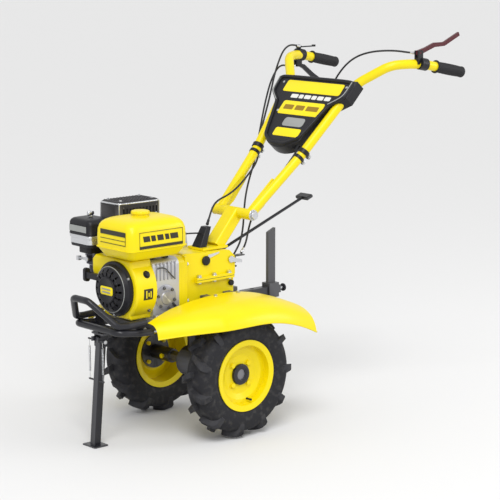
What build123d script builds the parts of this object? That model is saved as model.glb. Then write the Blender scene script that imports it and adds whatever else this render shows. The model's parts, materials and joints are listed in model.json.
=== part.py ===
from build123d import *
import os
from math import atan2, cos, hypot, pi, radians, degrees, sin, tan

# Two-wheel motor cultivator, millimetres.
# +X points forward, +Y to the machine's left, +Z up. The origin is on the ground, in the middle
# of the machine's length and width. Most places are given from the axle line with at().

# ---------------------------------------------------------------- driving dimensions
AXLE_X = 234.6          # the axle line, forward of the origin
AXLE_Z = 205            # axle height, the rolling radius of the tyre
WHEEL_Y = 210           # middle of each wheel
TYRE_R = 205
CARCASS_R = 188
TYRE_HALF = 50
RIM_R = 101.5           # outside of the rim barrel
RIM_FLANGE_R = 117
RIM_HALF = 45
HEX_AF = 32             # across the flats of the axle
LUGS = 11               # chevron lugs on each side of a tyre

CRANK_Z = 497           # crankshaft height
BASE_Z = 391            # underside of the engine
ENGINE_REAR = 138       # the engine's output face
SHROUD_REAR = 245
SHROUD_FRONT = 325
SHROUD_TOP = 593
LAY_Z = 437             # layshaft height
GEAR_MODULE = 2.5
BEVEL_MODULE = 2.2
PRESSURE = radians(20)

CASE_TOP = 583
CASE_FLOOR = 378
CASE_REAR = -120
CASE_FRONT = 108
CASE_HALF = 62

TUBE_R = 16             # handlebar tube
TUBE_WALL = 2.2
GRIP_R = 19.5
BUMPER_R = 11
PIVOT = (-172, 690)     # handlebar pivot, X and Z
HUB_R = 18
CABLE_R = 3.2


# ---------------------------------------------------------------- places and planes
def at(x, y, z):
    """A place measured from the axle line at ground level."""
    return (AXLE_X + x, y, z)


def side_plane(y, z=0):
    """Upright plane; local x runs forward, local y runs up, and it faces the machine's right."""
    return Plane(origin=at(0, y, z), x_dir=(1, 0, 0), z_dir=(0, -1, 0))


def front_plane(x, z=0):
    """Upright plane across the machine; local x runs left, local y runs up; it faces forward."""
    return Plane(origin=at(x, 0, z), x_dir=(0, 1, 0), z_dir=(1, 0, 0))


def level_plane(z):
    """Level plane; local x runs forward and local y runs left."""
    return Plane(origin=at(0, 0, z), x_dir=(1, 0, 0), z_dir=(0, 0, 1))


def block(x0, x1, y0, y1, z0, z1):
    """A plain box between two corners given from the axle line."""
    with BuildPart(Plane(origin=at((x0 + x1) / 2, (y0 + y1) / 2, (z0 + z1) / 2))) as solid:
        Box(x1 - x0, y1 - y0, z1 - z0)
    return solid.part


def rod(start, end, radius, inner=0):
    """A straight round bar, or a tube when it has an inner radius."""
    a = Vector(*at(*start))
    b = Vector(*at(*end))
    with BuildPart() as solid:
        with BuildSketch(Plane(origin=a, z_dir=b - a)):
            Circle(radius)
            if inner:
                Circle(inner, mode=Mode.SUBTRACT)
        extrude(amount=(b - a).length)
    return solid.part


def bent_tube(points, radii, radius, inner=0):
    """A round tube along straight runs joined by tangent arcs."""
    with BuildPart() as solid:
        with BuildLine() as route:
            FilletPolyline(*[at(*p) for p in points], radius=radii)
        with BuildSketch(Plane(origin=route.line @ 0, z_dir=route.line % 0)):
            Circle(radius)
            if inner:
                Circle(inner, mode=Mode.SUBTRACT)
        sweep(path=route.line)
    return solid.part


def route_radii(points):
    """The largest arcs that the runs of a cable's route allow."""
    radii = []
    for a, b, c in zip(points, points[1:], points[2:]):
        run_in = Vector(*b) - Vector(*a)
        run_out = Vector(*c) - Vector(*b)
        turn = radians(run_in.get_angle(run_out))
        radii.append(0.45 * min(run_in.length, run_out.length) / tan(turn / 2))
    return radii


# ---------------------------------------------------------------- gear outlines
def tooth_ring(teeth, root, pitch, tip, half, slope, turn):
    """Straight-flanked teeth as a closed ring of points; one tooth is centred at turn degrees."""
    points = []
    for tooth in range(teeth):
        centre = radians(turn) + 2 * pi * tooth / teeth
        low = half + slope * (pitch - root) / pitch
        high = half - slope * (tip - pitch) / pitch
        for radius, offset in ((root, -low), (tip, -high), (tip, high), (root, low)):
            points.append((radius * cos(centre + offset), radius * sin(centre + offset)))
    return points


def spur_outline(teeth, module, turn):
    """Outline of a spur gear with working backlash."""
    pitch = teeth * module / 2
    return tooth_ring(teeth, pitch - 1.25 * module, pitch, pitch + 0.75 * module,
                      0.40 * pi / teeth, tan(PRESSURE), turn)


def bevel_gear(teeth, mate, module, turn, plane, face=0.32):
    """A straight bevel gear: the plane is at its large end and faces the common apex."""
    pitch = teeth * module / 2
    height = mate * module / 2
    cone = atan2(pitch, height)
    length = hypot(pitch, height)
    tip = height * tan(cone + 0.5 * module / length)
    root = height * tan(cone - 1.35 * module / length)
    ring = tooth_ring(teeth, root, pitch, tip, 0.34 * pi / teeth, tan(PRESSURE) * 0.4, turn)
    with BuildPart() as gear:
        with BuildSketch(plane):
            Polygon(*ring, align=None)
        with BuildSketch(plane.offset(height * face)):
            Polygon(*[(x * (1 - face), y * (1 - face)) for x, y in ring], align=None)
        loft(ruled=True)
    return gear.part


# ---------------------------------------------------------------- wheels
def wheel_plane(side):
    """Section plane of a wheel: local x is the radius, local y runs outward along the axle."""
    return Plane(origin=at(0, side * WHEEL_Y, AXLE_Z), x_dir=(0, 0, 1),
                 z_dir=(-side, 0, 0))


AXLE = Axis(at(0, 0, AXLE_Z), (0, 1, 0))


def make_tyre(side):
    """An agricultural tyre: a hollow carcass with chevron lugs that wrap its shoulders."""
    outer = [(104, -38), (117, -40.5), (136, -47), (160, -48), (178, -43), (CARCASS_R, -26),
             (CARCASS_R, 26), (178, 43), (160, 48), (136, 47), (117, 40.5), (104, 38)]
    inner = [(104, 30), (119, 31), (138, 38), (158, 38.5), (168, 34), (177, 22),
             (177, -22), (168, -34), (158, -38.5), (138, -38), (119, -31), (104, -30)]
    lug_top = TYRE_R + 3
    with BuildPart() as lug:
        with BuildSketch(Plane(origin=at(0, side * WHEEL_Y, AXLE_Z + lug_top), x_dir=(1, 0, 0),
                               z_dir=(0, 0, -1))):
            Polygon((-9, -3), (9, -3), (27, TYRE_HALF), (9, TYRE_HALF), align=None)
        extrude(amount=lug_top - 168)
        with BuildSketch(side_plane(side * WHEEL_Y + 60), mode=Mode.PRIVATE) as round_off:
            with Locations((0, AXLE_Z)):
                Circle(TYRE_R)
        extrude(round_off.sketch, amount=120, mode=Mode.INTERSECT)
    other = lug.part.mirror(Plane(origin=at(0, side * WHEEL_Y, 0), z_dir=(0, 1, 0)))
    step = 360 / LUGS
    with BuildPart() as tyre:
        with BuildSketch(wheel_plane(side)):
            Polygon(*outer, align=None)
        revolve(axis=AXLE)
        for index in range(LUGS):
            add(lug.part.rotate(AXLE, index * step))
            add(other.rotate(AXLE, (index + 0.5) * step))
        with BuildSketch(wheel_plane(side)):
            Polygon(*inner, align=None)
        revolve(axis=AXLE, mode=Mode.SUBTRACT)
        fit = rod((0, side * WHEEL_Y - 60, AXLE_Z), (0, side * WHEEL_Y + 60, AXLE_Z), 103)
        add(fit, mode=Mode.SUBTRACT)
    return tyre


def make_rim(side):
    """Pressed rim: a barrel with two flanges and a dished disc bolted to the hub."""
    wall = 3
    barrel = [(RIM_FLANGE_R, -RIM_HALF), (RIM_FLANGE_R, -RIM_HALF + wall),
              (RIM_R, -RIM_HALF + wall + 3), (RIM_R, RIM_HALF - wall - 3),
              (RIM_FLANGE_R, RIM_HALF - wall), (RIM_FLANGE_R, RIM_HALF),
              (RIM_R - wall, RIM_HALF - wall), (RIM_R - wall, -RIM_HALF + wall)]
    disc = [(34.2, 8), (66, 8), (84, 16), (RIM_R - 1, 16), (RIM_R - 1, 20), (82, 20), (64, 12),
            (34.2, 12)]
    with BuildPart() as rim:
        with BuildSketch(wheel_plane(side)):
            Polygon(*barrel, align=None)
            Polygon(*disc, align=None)
        revolve(axis=AXLE)
        for spot in hub_bolt_spots():
            add(rod((spot[0], side * 200, spot[1]), (spot[0], side * 230, spot[1]), 4.3),
                mode=Mode.SUBTRACT)
    return rim


def hub_bolt_spots():
    """X and Z of the four hub bolts from the axle line."""
    return [(46 * cos(radians(45 + 90 * k)), AXLE_Z + 46 * sin(radians(45 + 90 * k)))
            for k in range(4)]


def hex_prism(y0, y1, across):
    """A hexagonal bar along the axle line."""
    with BuildPart() as bar:
        with BuildSketch(side_plane(y1)):
            with Locations((0, AXLE_Z)):
                RegularPolygon(across / 2, 6, major_radius=False, rotation=30)
        extrude(amount=y1 - y0)
    return bar.part


tyre_left = make_tyre(1)
tyre_right = make_tyre(-1)

with BuildPart() as rims:
    add(make_rim(1).part)
    add(make_rim(-1).part)

HUB_INNER = 118
HUB_OUTER = 229
with BuildPart() as wheel_hubs:
    for side in (1, -1):
        y = side * HUB_INNER
        add(rod((0, y, AXLE_Z), (0, side * HUB_OUTER, AXLE_Z), 24))
        add(rod((0, side * 217.9, AXLE_Z), (0, side * HUB_OUTER, AXLE_Z), 34))
        add(rod((0, side * 211, AXLE_Z), (0, side * 217.9, AXLE_Z), 58))
        for spot in hub_bolt_spots():
            add(rod((spot[0], side * 205, spot[1]), (spot[0], side * 225, spot[1]), 4.3),
                mode=Mode.SUBTRACT)
        add(rod((-40, side * 140, AXLE_Z), (40, side * 140, AXLE_Z), 5.2), mode=Mode.SUBTRACT)
    add(hex_prism(-HUB_OUTER - 5, HUB_OUTER + 5, HEX_AF + 0.3), mode=Mode.SUBTRACT)

with BuildPart() as wheel_bolts:
    for side in (1, -1):
        for spot in hub_bolt_spots():
            x, z = spot
            add(rod((x, side * 222.1, z), (x, side * 228, z), 7.5))
            add(rod((x, side * 200, z), (x, side * 222.1, z), 4))
            add(rod((x, side * 204, z), (x, side * 210.9, z), 7))
        add(rod((-34, side * 140, AXLE_Z), (34, side * 140, AXLE_Z), 5))
        add(rod((30, side * 140, AXLE_Z), (34, side * 140, AXLE_Z), 8))

# ---------------------------------------------------------------- axle and final drive
AXLE_END = 227
JOURNAL = 16
FINAL_TEETH = 32
PINION_TEETH = 10
FINAL_PLANE = PINION_TEETH * BEVEL_MODULE / 2
with BuildPart() as axle_shaft:
    add(hex_prism(-AXLE_END, AXLE_END, HEX_AF))
    with BuildSketch(side_plane(46)):
        with Locations((0, AXLE_Z)):
            Circle(30)
            Circle(JOURNAL, mode=Mode.SUBTRACT)
    extrude(amount=92, mode=Mode.SUBTRACT)
    for side in (1, -1):
        add(rod((-40, side * 140, AXLE_Z), (40, side * 140, AXLE_Z), 5.2), mode=Mode.SUBTRACT)

with BuildPart() as final_gear:
    add(bevel_gear(FINAL_TEETH, PINION_TEETH, BEVEL_MODULE, 90 + 180 / FINAL_TEETH,
                   side_plane(FINAL_PLANE, AXLE_Z)))
    add(rod((0, FINAL_PLANE, AXLE_Z), (0, FINAL_PLANE + 6, AXLE_Z), 26.5))
    add(rod((0, FINAL_PLANE, AXLE_Z), (0, FINAL_PLANE + 16, AXLE_Z), 23))
    add(rod((0, 0, AXLE_Z), (0, 40, AXLE_Z), JOURNAL), mode=Mode.SUBTRACT)

# ---------------------------------------------------------------- upright drive shaft
TOP_GEAR_TEETH = 26
TOP_PINION_TEETH = 13
TOP_GEAR_Z = LAY_Z - TOP_PINION_TEETH * GEAR_MODULE / 2
DRIVE_R = 8
with BuildPart() as drive_shaft:
    low = AXLE_Z + FINAL_TEETH * BEVEL_MODULE / 2
    pinion_plane = Plane(origin=at(0, 0, low), x_dir=(1, 0, 0), z_dir=(0, 0, -1))
    add(bevel_gear(PINION_TEETH, FINAL_TEETH, BEVEL_MODULE, -90, pinion_plane))
    add(rod((0, 0, low), (0, 0, TOP_GEAR_Z), DRIVE_R))
    gear_plane = Plane(origin=at(0, 0, TOP_GEAR_Z), x_dir=(1, 0, 0), z_dir=(0, 0, 1))
    add(bevel_gear(TOP_GEAR_TEETH, TOP_PINION_TEETH, GEAR_MODULE, 180 / TOP_GEAR_TEETH, gear_plane))
    add(rod((0, 0, TOP_GEAR_Z - 6), (0, 0, TOP_GEAR_Z), 25.5))

# ---------------------------------------------------------------- layshaft and input shaft
FIRST = (12, 36)        # teeth of the low pair, sliding pinion first
SECOND = (22, 26)       # teeth of the high pair
LAY_R = 9
INPUT_R = 10
CRANK_R = 12.5


def spur(teeth, z, x0, x1, turn):
    """A spur gear whose shaft runs forward."""
    with BuildPart() as gear:
        with BuildSketch(front_plane(x0, z)):
            Polygon(*spur_outline(teeth, GEAR_MODULE, turn), align=None)
        extrude(amount=x1 - x0)
    return gear.part


with BuildPart() as layshaft:
    front = TOP_GEAR_TEETH * GEAR_MODULE / 2
    pinion_plane = Plane(origin=at(front, 0, LAY_Z), x_dir=(0, 1, 0), z_dir=(-1, 0, 0))
    add(bevel_gear(TOP_PINION_TEETH, TOP_GEAR_TEETH, GEAR_MODULE, 90, pinion_plane))
    add(rod((front, 0, LAY_Z), (CASE_FRONT - 0.5, 0, LAY_Z), LAY_R))
    add(spur(FIRST[1], LAY_Z, 44, 48.6, 90 + 180 / FIRST[1]))
    add(spur(SECOND[1], LAY_Z, 90.4, 97, 90 + 180 / SECOND[1]))

with BuildPart() as input_shaft:
    add(rod((18, 0, CRANK_Z), (117, 0, CRANK_Z), INPUT_R))

with BuildPart() as clutch_disc:
    add(rod((117, 0, CRANK_Z), (123, 0, CRANK_Z), 52))
    add(rod((112, 0, CRANK_Z), (117, 0, CRANK_Z), 20, INPUT_R))

with BuildPart() as sliding_gear:
    add(spur(FIRST[0], CRANK_Z, 56, 64, -90))
    add(rod((64, 0, CRANK_Z), (75, 0, CRANK_Z), 14))
    add(spur(SECOND[0], CRANK_Z, 75, 83, -90))
    add(rod((50, 0, CRANK_Z), (90, 0, CRANK_Z), INPUT_R + 0.05), mode=Mode.SUBTRACT)

FORK_Z = 548
SHIFT_R = 5
SHIFT_DIR = (-0.9368, 0, 0.35)      # the rod is pulled back and up


def shift_place(reach):
    """A place on the shift rod's axis, measured back from where it leaves the gearbox."""
    return (-106 + SHIFT_DIR[0] * reach, 0, 566 + SHIFT_DIR[2] * reach)


with BuildPart() as shift_rod:
    add(rod(shift_place(-28), shift_place(402), SHIFT_R))
    knob = Plane(origin=at(*shift_place(400)), x_dir=(0, 1, 0), z_dir=SHIFT_DIR)
    with BuildSketch(knob):
        RectangleRounded(62, 13, 6)
    extrude(amount=26)
    fillet(shift_rod.edges().group_by(Axis((0, 0, 0), SHIFT_DIR))[-1], 4)

with BuildPart() as shift_fork:
    add(block(65, 72, -21, 21, CRANK_Z + 2, FORK_Z + 6))
    add(rod((60, 0, CRANK_Z), (77, 0, CRANK_Z), 15), mode=Mode.SUBTRACT)
    add(rod((-60, 0, FORK_Z), (84, 0, FORK_Z), 6))

# ---------------------------------------------------------------- gearbox
with BuildPart() as lower_case:
    add(rod((0, -40, AXLE_Z), (0, 40, AXLE_Z), 50))
    add(rod((0, 0, AXLE_Z), (0, 0, CASE_FLOOR), 27))
    add(block(-34, 34, -34, 34, CASE_FLOOR - 12, CASE_FLOOR))
    add(rod((0, -32, AXLE_Z), (0, 32, AXLE_Z), 43.5), mode=Mode.SUBTRACT)
    add(rod((0, 0, AXLE_Z), (0, 0, CASE_FLOOR), 14), mode=Mode.SUBTRACT)
    add(rod((0, -45, AXLE_Z), (0, 45, AXLE_Z), 26), mode=Mode.SUBTRACT)

FLANGE_HALF = 78        # half width of the bolted flanges
SEAM_BOLTS = [(x, side * 69) for x in (-88, -24, 40) for side in (1, -1)]
BELL_BOLTS = [(side * 69.5, CRANK_Z + rise) for side in (1, -1) for rise in (-60, 60)]


def seam_holes(z0, z1):
    """Bolt holes through one half of the seam flange."""
    with BuildPart() as holes:
        for x, y in SEAM_BOLTS:
            add(rod((x, y, z0), (x, y, z1), 4.2))
    return holes.part


def bell_holes(x0, x1):
    """Bolt holes on the pattern that joins the gearbox, the bell and the engine."""
    with BuildPart() as holes:
        for y, z in BELL_BOLTS:
            add(rod((x0, y, z), (x1, y, z), 4.2))
    return holes.part


with BuildPart() as gearbox_case:
    add(block(CASE_REAR, CASE_FRONT, -CASE_HALF, CASE_HALF, CASE_FLOOR, CRANK_Z))
    fillet(gearbox_case.edges().filter_by(Axis.Z).group_by(Axis.X)[0], 14)
    add(block(-104, 56, -FLANGE_HALF, FLANGE_HALF, CRANK_Z - 8, CRANK_Z))
    add(block(CASE_FRONT - 10, CASE_FRONT, -FLANGE_HALF, FLANGE_HALF, 409, CRANK_Z))
    inner = 8
    add(block(CASE_REAR + inner, CASE_FRONT - 10, -CASE_HALF + inner, CASE_HALF - inner,
              CASE_FLOOR + inner, CRANK_Z), mode=Mode.SUBTRACT)
    add(block(18, 28, -CASE_HALF + 2, CASE_HALF - 2, 470, CRANK_Z))
    add(block(37.5, 42.5, -CASE_HALF + 2, CASE_HALF - 2, CASE_FLOOR + 2, 464))
    add(block(-26, 26, -26, 26, CASE_FLOOR + 2, 404))
    add(rod((0, 0, CASE_FLOOR - 1), (0, 0, 410), 14), mode=Mode.SUBTRACT)
    add(rod((37, 0, LAY_Z), (43, 0, LAY_Z), 16), mode=Mode.SUBTRACT)
    add(rod((CASE_FRONT - 11, 0, LAY_Z), (CASE_FRONT + 1, 0, LAY_Z), 16), mode=Mode.SUBTRACT)
    add(rod((17, 0, CRANK_Z), (29, 0, CRANK_Z), 17), mode=Mode.SUBTRACT)
    add(rod((CASE_FRONT - 11, 0, CRANK_Z), (CASE_FRONT + 1, 0, CRANK_Z), 17), mode=Mode.SUBTRACT)
    add(seam_holes(CRANK_Z - 9, CRANK_Z + 1), mode=Mode.SUBTRACT)
    add(bell_holes(CASE_FRONT - 11, CASE_FRONT + 1), mode=Mode.SUBTRACT)

with BuildPart() as gearbox_cover:
    with BuildSketch(side_plane(CASE_HALF)):
        Polygon((CASE_REAR, CRANK_Z), (CASE_FRONT, CRANK_Z), (CASE_FRONT, 590), (20, CASE_TOP),
                (-96, CASE_TOP - 4), (CASE_REAR, 556), align=None)
    extrude(amount=2 * CASE_HALF)
    fillet(gearbox_cover.edges().filter_by(Axis.Y).group_by(Axis.Z)[-1], 8)
    add(block(-104, 56, -FLANGE_HALF, FLANGE_HALF, CRANK_Z, CRANK_Z + 8))
    add(block(CASE_FRONT - 10, CASE_FRONT, -FLANGE_HALF, FLANGE_HALF, CRANK_Z, 584))
    add(block(CASE_REAR + 8, CASE_FRONT - 10, -CASE_HALF + 8, CASE_HALF - 8, CRANK_Z, 558),
        mode=Mode.SUBTRACT)
    add(block(18, 28, -CASE_HALF + 2, CASE_HALF - 2, CRANK_Z, 530))
    add(rod((17, 0, CRANK_Z), (29, 0, CRANK_Z), 17), mode=Mode.SUBTRACT)
    add(rod((CASE_FRONT - 11, 0, CRANK_Z), (CASE_FRONT + 1, 0, CRANK_Z), 17), mode=Mode.SUBTRACT)
    add(seam_holes(CRANK_Z - 1, CRANK_Z + 9), mode=Mode.SUBTRACT)
    add(bell_holes(CASE_FRONT - 11, CASE_FRONT + 1), mode=Mode.SUBTRACT)
    add(rod(shift_place(-40), shift_place(50), SHIFT_R + 0.08), mode=Mode.SUBTRACT)
    add(rod((-100, CASE_HALF - 12, FORK_Z), (-100, CASE_HALF + 1, FORK_Z), 5.05),
        mode=Mode.SUBTRACT)

with BuildPart() as clutch_bell:
    with BuildSketch(front_plane(CASE_FRONT)):
        with Locations((0, CRANK_Z)):
            RectangleRounded(2 * FLANGE_HALF, 176, 24)
            Circle(58, mode=Mode.SUBTRACT)
    extrude(amount=ENGINE_REAR - CASE_FRONT)
    add(bell_holes(CASE_FRONT - 1, ENGINE_REAR + 1), mode=Mode.SUBTRACT)

with BuildPart() as bearings:
    add(rod((18.5, 0, CRANK_Z), (27.5, 0, CRANK_Z), 17, INPUT_R + 0.05))
    add(rod((98.5, 0, CRANK_Z), (107.5, 0, CRANK_Z), 17, INPUT_R + 0.05))
    add(rod((37.6, 0, LAY_Z), (42.4, 0, LAY_Z), 16, LAY_R + 0.05))
    add(rod((98.5, 0, LAY_Z), (107.5, 0, LAY_Z), 16, LAY_R + 0.05))
    add(rod((0, 0, 388), (0, 0, 402), 14, DRIVE_R + 0.05))
    add(rod((0, 0, 262), (0, 0, 274), 14, DRIVE_R + 0.05))
    for x in (ENGINE_REAR + 0.5, SHROUD_REAR - 7.5):
        add(rod((x, 0, CRANK_Z), (x + 7, 0, CRANK_Z), 17.5, CRANK_R + 0.05))
    for side in (1, -1):
        add(rod((0, side * 33, AXLE_Z), (0, side * 40, AXLE_Z), 26, JOURNAL + 0.05))

# ---------------------------------------------------------------- engine
CYLINDER_X = 192
LEAN = radians(25)      # the cylinder leans up from level, towards the machine's right


def cylinder_plane(reach):
    """Section across the cylinder at a distance from the crankshaft."""
    origin = at(CYLINDER_X, -reach * cos(LEAN), CRANK_Z + reach * sin(LEAN))
    return Plane(origin=origin, x_dir=(1, 0, 0), z_dir=(0, -cos(LEAN), sin(LEAN)))


def cylinder_slab(start, end, width, height):
    """A rounded block across the cylinder between two distances from the crankshaft."""
    with BuildPart() as slab:
        with BuildSketch(cylinder_plane(start)):
            RectangleRounded(width, height, 10)
        extrude(amount=end - start)
    return slab.part


with BuildPart() as crankcase:
    add(block(ENGINE_REAR, SHROUD_REAR, -84, 84, BASE_Z + 4, 586))
    fillet(crankcase.edges().filter_by(Axis.X), 22)
    add(block(ENGINE_REAR + 4, SHROUD_REAR + 14, -100, 98, BASE_Z, BASE_Z + 12))
    add(cylinder_slab(60, 112, 96, 96))
    for fin in range(5):
        add(cylinder_slab(88 + 9 * fin, 91 + 9 * fin, 106, 112))
    add(cylinder_slab(108, 132, 84, 84))
    add(block(ENGINE_REAR + 8, SHROUD_REAR - 8, -60, 60, 424, 566), mode=Mode.SUBTRACT)
    add(rod((ENGINE_REAR - 1, 0, CRANK_Z), (ENGINE_REAR + 9, 0, CRANK_Z), 17.5), mode=Mode.SUBTRACT)
    add(rod((SHROUD_REAR - 9, 0, CRANK_Z), (SHROUD_REAR + 1, 0, CRANK_Z), 17.5), mode=Mode.SUBTRACT)
    with BuildSketch(cylinder_plane(40)):
        Circle(34)
    extrude(amount=93, mode=Mode.SUBTRACT)
    add(bell_holes(ENGINE_REAR - 1, ENGINE_REAR + 12), mode=Mode.SUBTRACT)
    for x in (ENGINE_REAR + 24, SHROUD_REAR - 8):
        for y in (-90, 90):
            add(rod((x, y, BASE_Z - 1), (x, y, BASE_Z + 13), 5), mode=Mode.SUBTRACT)

with BuildPart() as cylinder_head:
    add(cylinder_slab(132.1, 168, 84, 84))
    for fin in range(4):
        add(cylinder_slab(134 + 9 * fin, 137 + 9 * fin, 106, 110))

with BuildPart() as rocker_cover:
    add(cylinder_slab(168.1, 172, 92, 90))
    add(cylinder_slab(172, 192, 82, 78))
    fillet(rocker_cover.edges().group_by(Axis((0, 0, 0), (0, -cos(LEAN), sin(LEAN))))[-1], 6)

with BuildPart() as spark_plug:
    add(rod((245.2, -152, 527), (252, -152, 527), 8))
    add(rod((252, -152, 527), (266, -152, 527), 11))
    add(rod((259, -152, 527), (259, -180, 500), 7))

with BuildPart() as fan_shroud:
    with BuildSketch(front_plane(SHROUD_REAR)) as outline:
        with Locations((0, CRANK_Z)):
            Circle(106)
        Polygon((84, 540), (70, SHROUD_TOP), (-112, SHROUD_TOP), (-128, 578), (-128, 540),
                (-100, 470), (0, 470), align=None)
        Polygon((-70, BASE_Z + 12.3), (70, BASE_Z + 12.3), (70, 450), (-70, 450), align=None)
        with BuildLine():
            Polyline((-200, BASE_Z + 12.3), (200, BASE_Z + 12.3), (200, 300), (-200, 300), close=True)
        make_face(mode=Mode.SUBTRACT)
        with BuildLine():
            Polyline((-200, SHROUD_TOP), (200, SHROUD_TOP), (200, 700), (-200, 700), close=True)
        make_face(mode=Mode.SUBTRACT)
    extrude(amount=SHROUD_FRONT - SHROUD_REAR)
    fillet(fan_shroud.edges().filter_by(Axis.X), 5)
    fillet(fan_shroud.edges().group_by(Axis.X)[-1], 8)
    with BuildSketch(front_plane(SHROUD_REAR)):
        offset(outline.sketch_local, amount=-7)
    extrude(amount=SHROUD_FRONT - SHROUD_REAR - 7, mode=Mode.SUBTRACT)
    add(rod((SHROUD_FRONT - 20, 0, CRANK_Z), (SHROUD_FRONT + 1, 0, CRANK_Z), 82),
        mode=Mode.SUBTRACT)

RECOIL_FRONT = 364
with BuildPart() as recoil_housing:
    with BuildSketch(level_plane(CRANK_Z)):
        Polygon((SHROUD_FRONT + 0.1, 0), (SHROUD_FRONT + 0.1, 88), (SHROUD_FRONT + 8, 88),
                (SHROUD_FRONT + 12, 80), (350, 74), (RECOIL_FRONT, 56), (RECOIL_FRONT, 0),
                align=None)
    revolve(axis=Axis(at(0, 0, CRANK_Z), (1, 0, 0)))
    with BuildSketch(level_plane(CRANK_Z)):
        Polygon((SHROUD_FRONT, 0), (SHROUD_FRONT, 72), (346, 70), (359, 54), (359, 0), align=None)
    revolve(axis=Axis(at(0, 0, CRANK_Z), (1, 0, 0)), mode=Mode.SUBTRACT)
    for slot in range(16):
        cut = block(SHROUD_FRONT + 2, 372, -3.5, 3.5, CRANK_Z + 44, CRANK_Z + 66)
        add(cut.rotate(Axis(at(0, 0, CRANK_Z), (1, 0, 0)), slot * 22.5), mode=Mode.SUBTRACT)
    add(block(338, 352, -124, -66, 516, 536))
    add(rod((345, -60, 526), (345, -125, 526), 3), mode=Mode.SUBTRACT)

with BuildPart() as starter_pulley:
    add(rod((340, 0, CRANK_Z), (352, 0, CRANK_Z), 42))
    add(rod((345, 0, CRANK_Z), (347, 0, CRANK_Z), 46, 38), mode=Mode.SUBTRACT)
    add(rod((336, 0, CRANK_Z), (340, 0, CRANK_Z), 20))

with BuildPart() as starter_grip:
    with BuildSketch(Plane(origin=at(345, -125.5, 526), x_dir=(1, 0, 0), z_dir=(0, -1, 0))):
        RectangleRounded(20, 44, 8)
    extrude(amount=15)
    fillet(starter_grip.edges().group_by(Axis.Y)[0], 5)
    add(rod((345, -126, 526), (345, -80, 526), 2.2))

with BuildPart() as flywheel:
    add(rod((258, 0, CRANK_Z), (278, 0, CRANK_Z), 82))
    for blade in range(14):
        vane = block(278, 296, -2, 2, CRANK_Z + 50, CRANK_Z + 80)
        add(vane.rotate(Axis(at(0, 0, CRANK_Z), (1, 0, 0)), blade * 360 / 14))
    add(rod((278, 0, CRANK_Z), (310, 0, CRANK_Z), 34, 30))
    add(rod((250, 0, CRANK_Z), (280, 0, CRANK_Z), CRANK_R), mode=Mode.SUBTRACT)

with BuildPart() as crankshaft:
    add(rod((124, 0, CRANK_Z), (300, 0, CRANK_Z), CRANK_R))
    for x in (170, 205):
        add(rod((x, 0, CRANK_Z), (x + 12, 0, CRANK_Z), 40))
    add(rod((300, 0, CRANK_Z), (306, 0, CRANK_Z), 16))
    add(rod((124, 0, CRANK_Z), (131, 0, CRANK_Z), 52))

# ---------------------------------------------------------------- fuel tank, air cleaner, exhaust
TANK = (130, 368, -60, 128)     # rear, front, right and left sides
TANK_LOW = 601
TANK_SEAM = 634
TANK_TOP = 728


def tank_section(z, shrink, corner):
    """Rounded plan of the tank at one height."""
    plane = Plane(origin=at((TANK[0] + TANK[1]) / 2, (TANK[2] + TANK[3]) / 2, z))
    with BuildSketch(plane) as plan:
        RectangleRounded(TANK[1] - TANK[0] - 2 * shrink, TANK[3] - TANK[2] - 2 * shrink, corner)
    return plan.sketch


with BuildPart() as fuel_tank:
    loft([tank_section(TANK_LOW, 18, 20), tank_section(TANK_SEAM, 0, 24)], ruled=True)
    loft([tank_section(TANK_SEAM, 0, 24), tank_section(TANK_TOP - 12, 5, 26)], ruled=True)
    loft([tank_section(TANK_TOP - 12, 5, 26), tank_section(TANK_TOP, 18, 30)], ruled=True)
    cavity = [tank_section(TANK_LOW + 4, 23, 16), tank_section(TANK_SEAM, 4, 20)]
    loft(cavity, ruled=True, mode=Mode.SUBTRACT)
    cavity = [tank_section(TANK_SEAM, 4, 20), tank_section(TANK_TOP - 14, 10, 22)]
    loft(cavity, ruled=True, mode=Mode.SUBTRACT)
    add(rod((250, 30, TANK_TOP - 16), (250, 30, TANK_TOP + 5), 26))
    add(rod((250, 30, TANK_TOP - 20), (250, 30, TANK_TOP + 6), 22), mode=Mode.SUBTRACT)
    for x in (168, 228):
        for y in (-18, 50):
            add(block(x - 8, x + 8, y - 8, y + 8, 586.1, TANK_LOW + 1))

with BuildPart() as tank_cap:
    add(rod((250, 30, TANK_TOP + 5.2), (250, 30, TANK_TOP + 14), 30))
    fillet(tank_cap.edges().group_by(Axis.Z)[-1], 4)
    add(rod((250, 30, TANK_TOP - 6), (250, 30, TANK_TOP + 5.2), 21.95))

AIR = (252, 352, -222, -104)
with BuildPart() as air_cleaner:
    cx, cy = (AIR[0] + AIR[1]) / 2, (AIR[2] + AIR[3]) / 2
    with BuildSketch(Plane(origin=at(cx, cy, 640))):
        RectangleRounded(AIR[1] - AIR[0], AIR[3] - AIR[2], 18)
    extrude(amount=64)
    fillet(air_cleaner.edges().group_by(Axis.Z)[-1], 12)
    with BuildSketch(Plane(origin=at(cx, cy, 612))):
        RectangleRounded(AIR[1] - AIR[0] - 8, AIR[3] - AIR[2] - 8, 16)
    extrude(amount=28)
    with BuildSketch(Plane(origin=at(cx, cy, 590))):
        RectangleRounded(62, 60, 14)
    extrude(amount=22)
    with BuildSketch(Plane(origin=at(cx, cy, 650))):
        RectangleRounded(AIR[1] - AIR[0] - 10, AIR[3] - AIR[2] - 10, 14)
    extrude(amount=46, mode=Mode.SUBTRACT)

with BuildPart() as air_cleaner_knob:
    add(rod((cx, cy, 704.1), (cx, cy, 716), 7))
    add(block(cx - 15, cx + 15, cy - 3, cy + 3, 708, 724))
    fillet(air_cleaner_knob.edges().filter_by(Axis.Y), 4)

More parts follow.
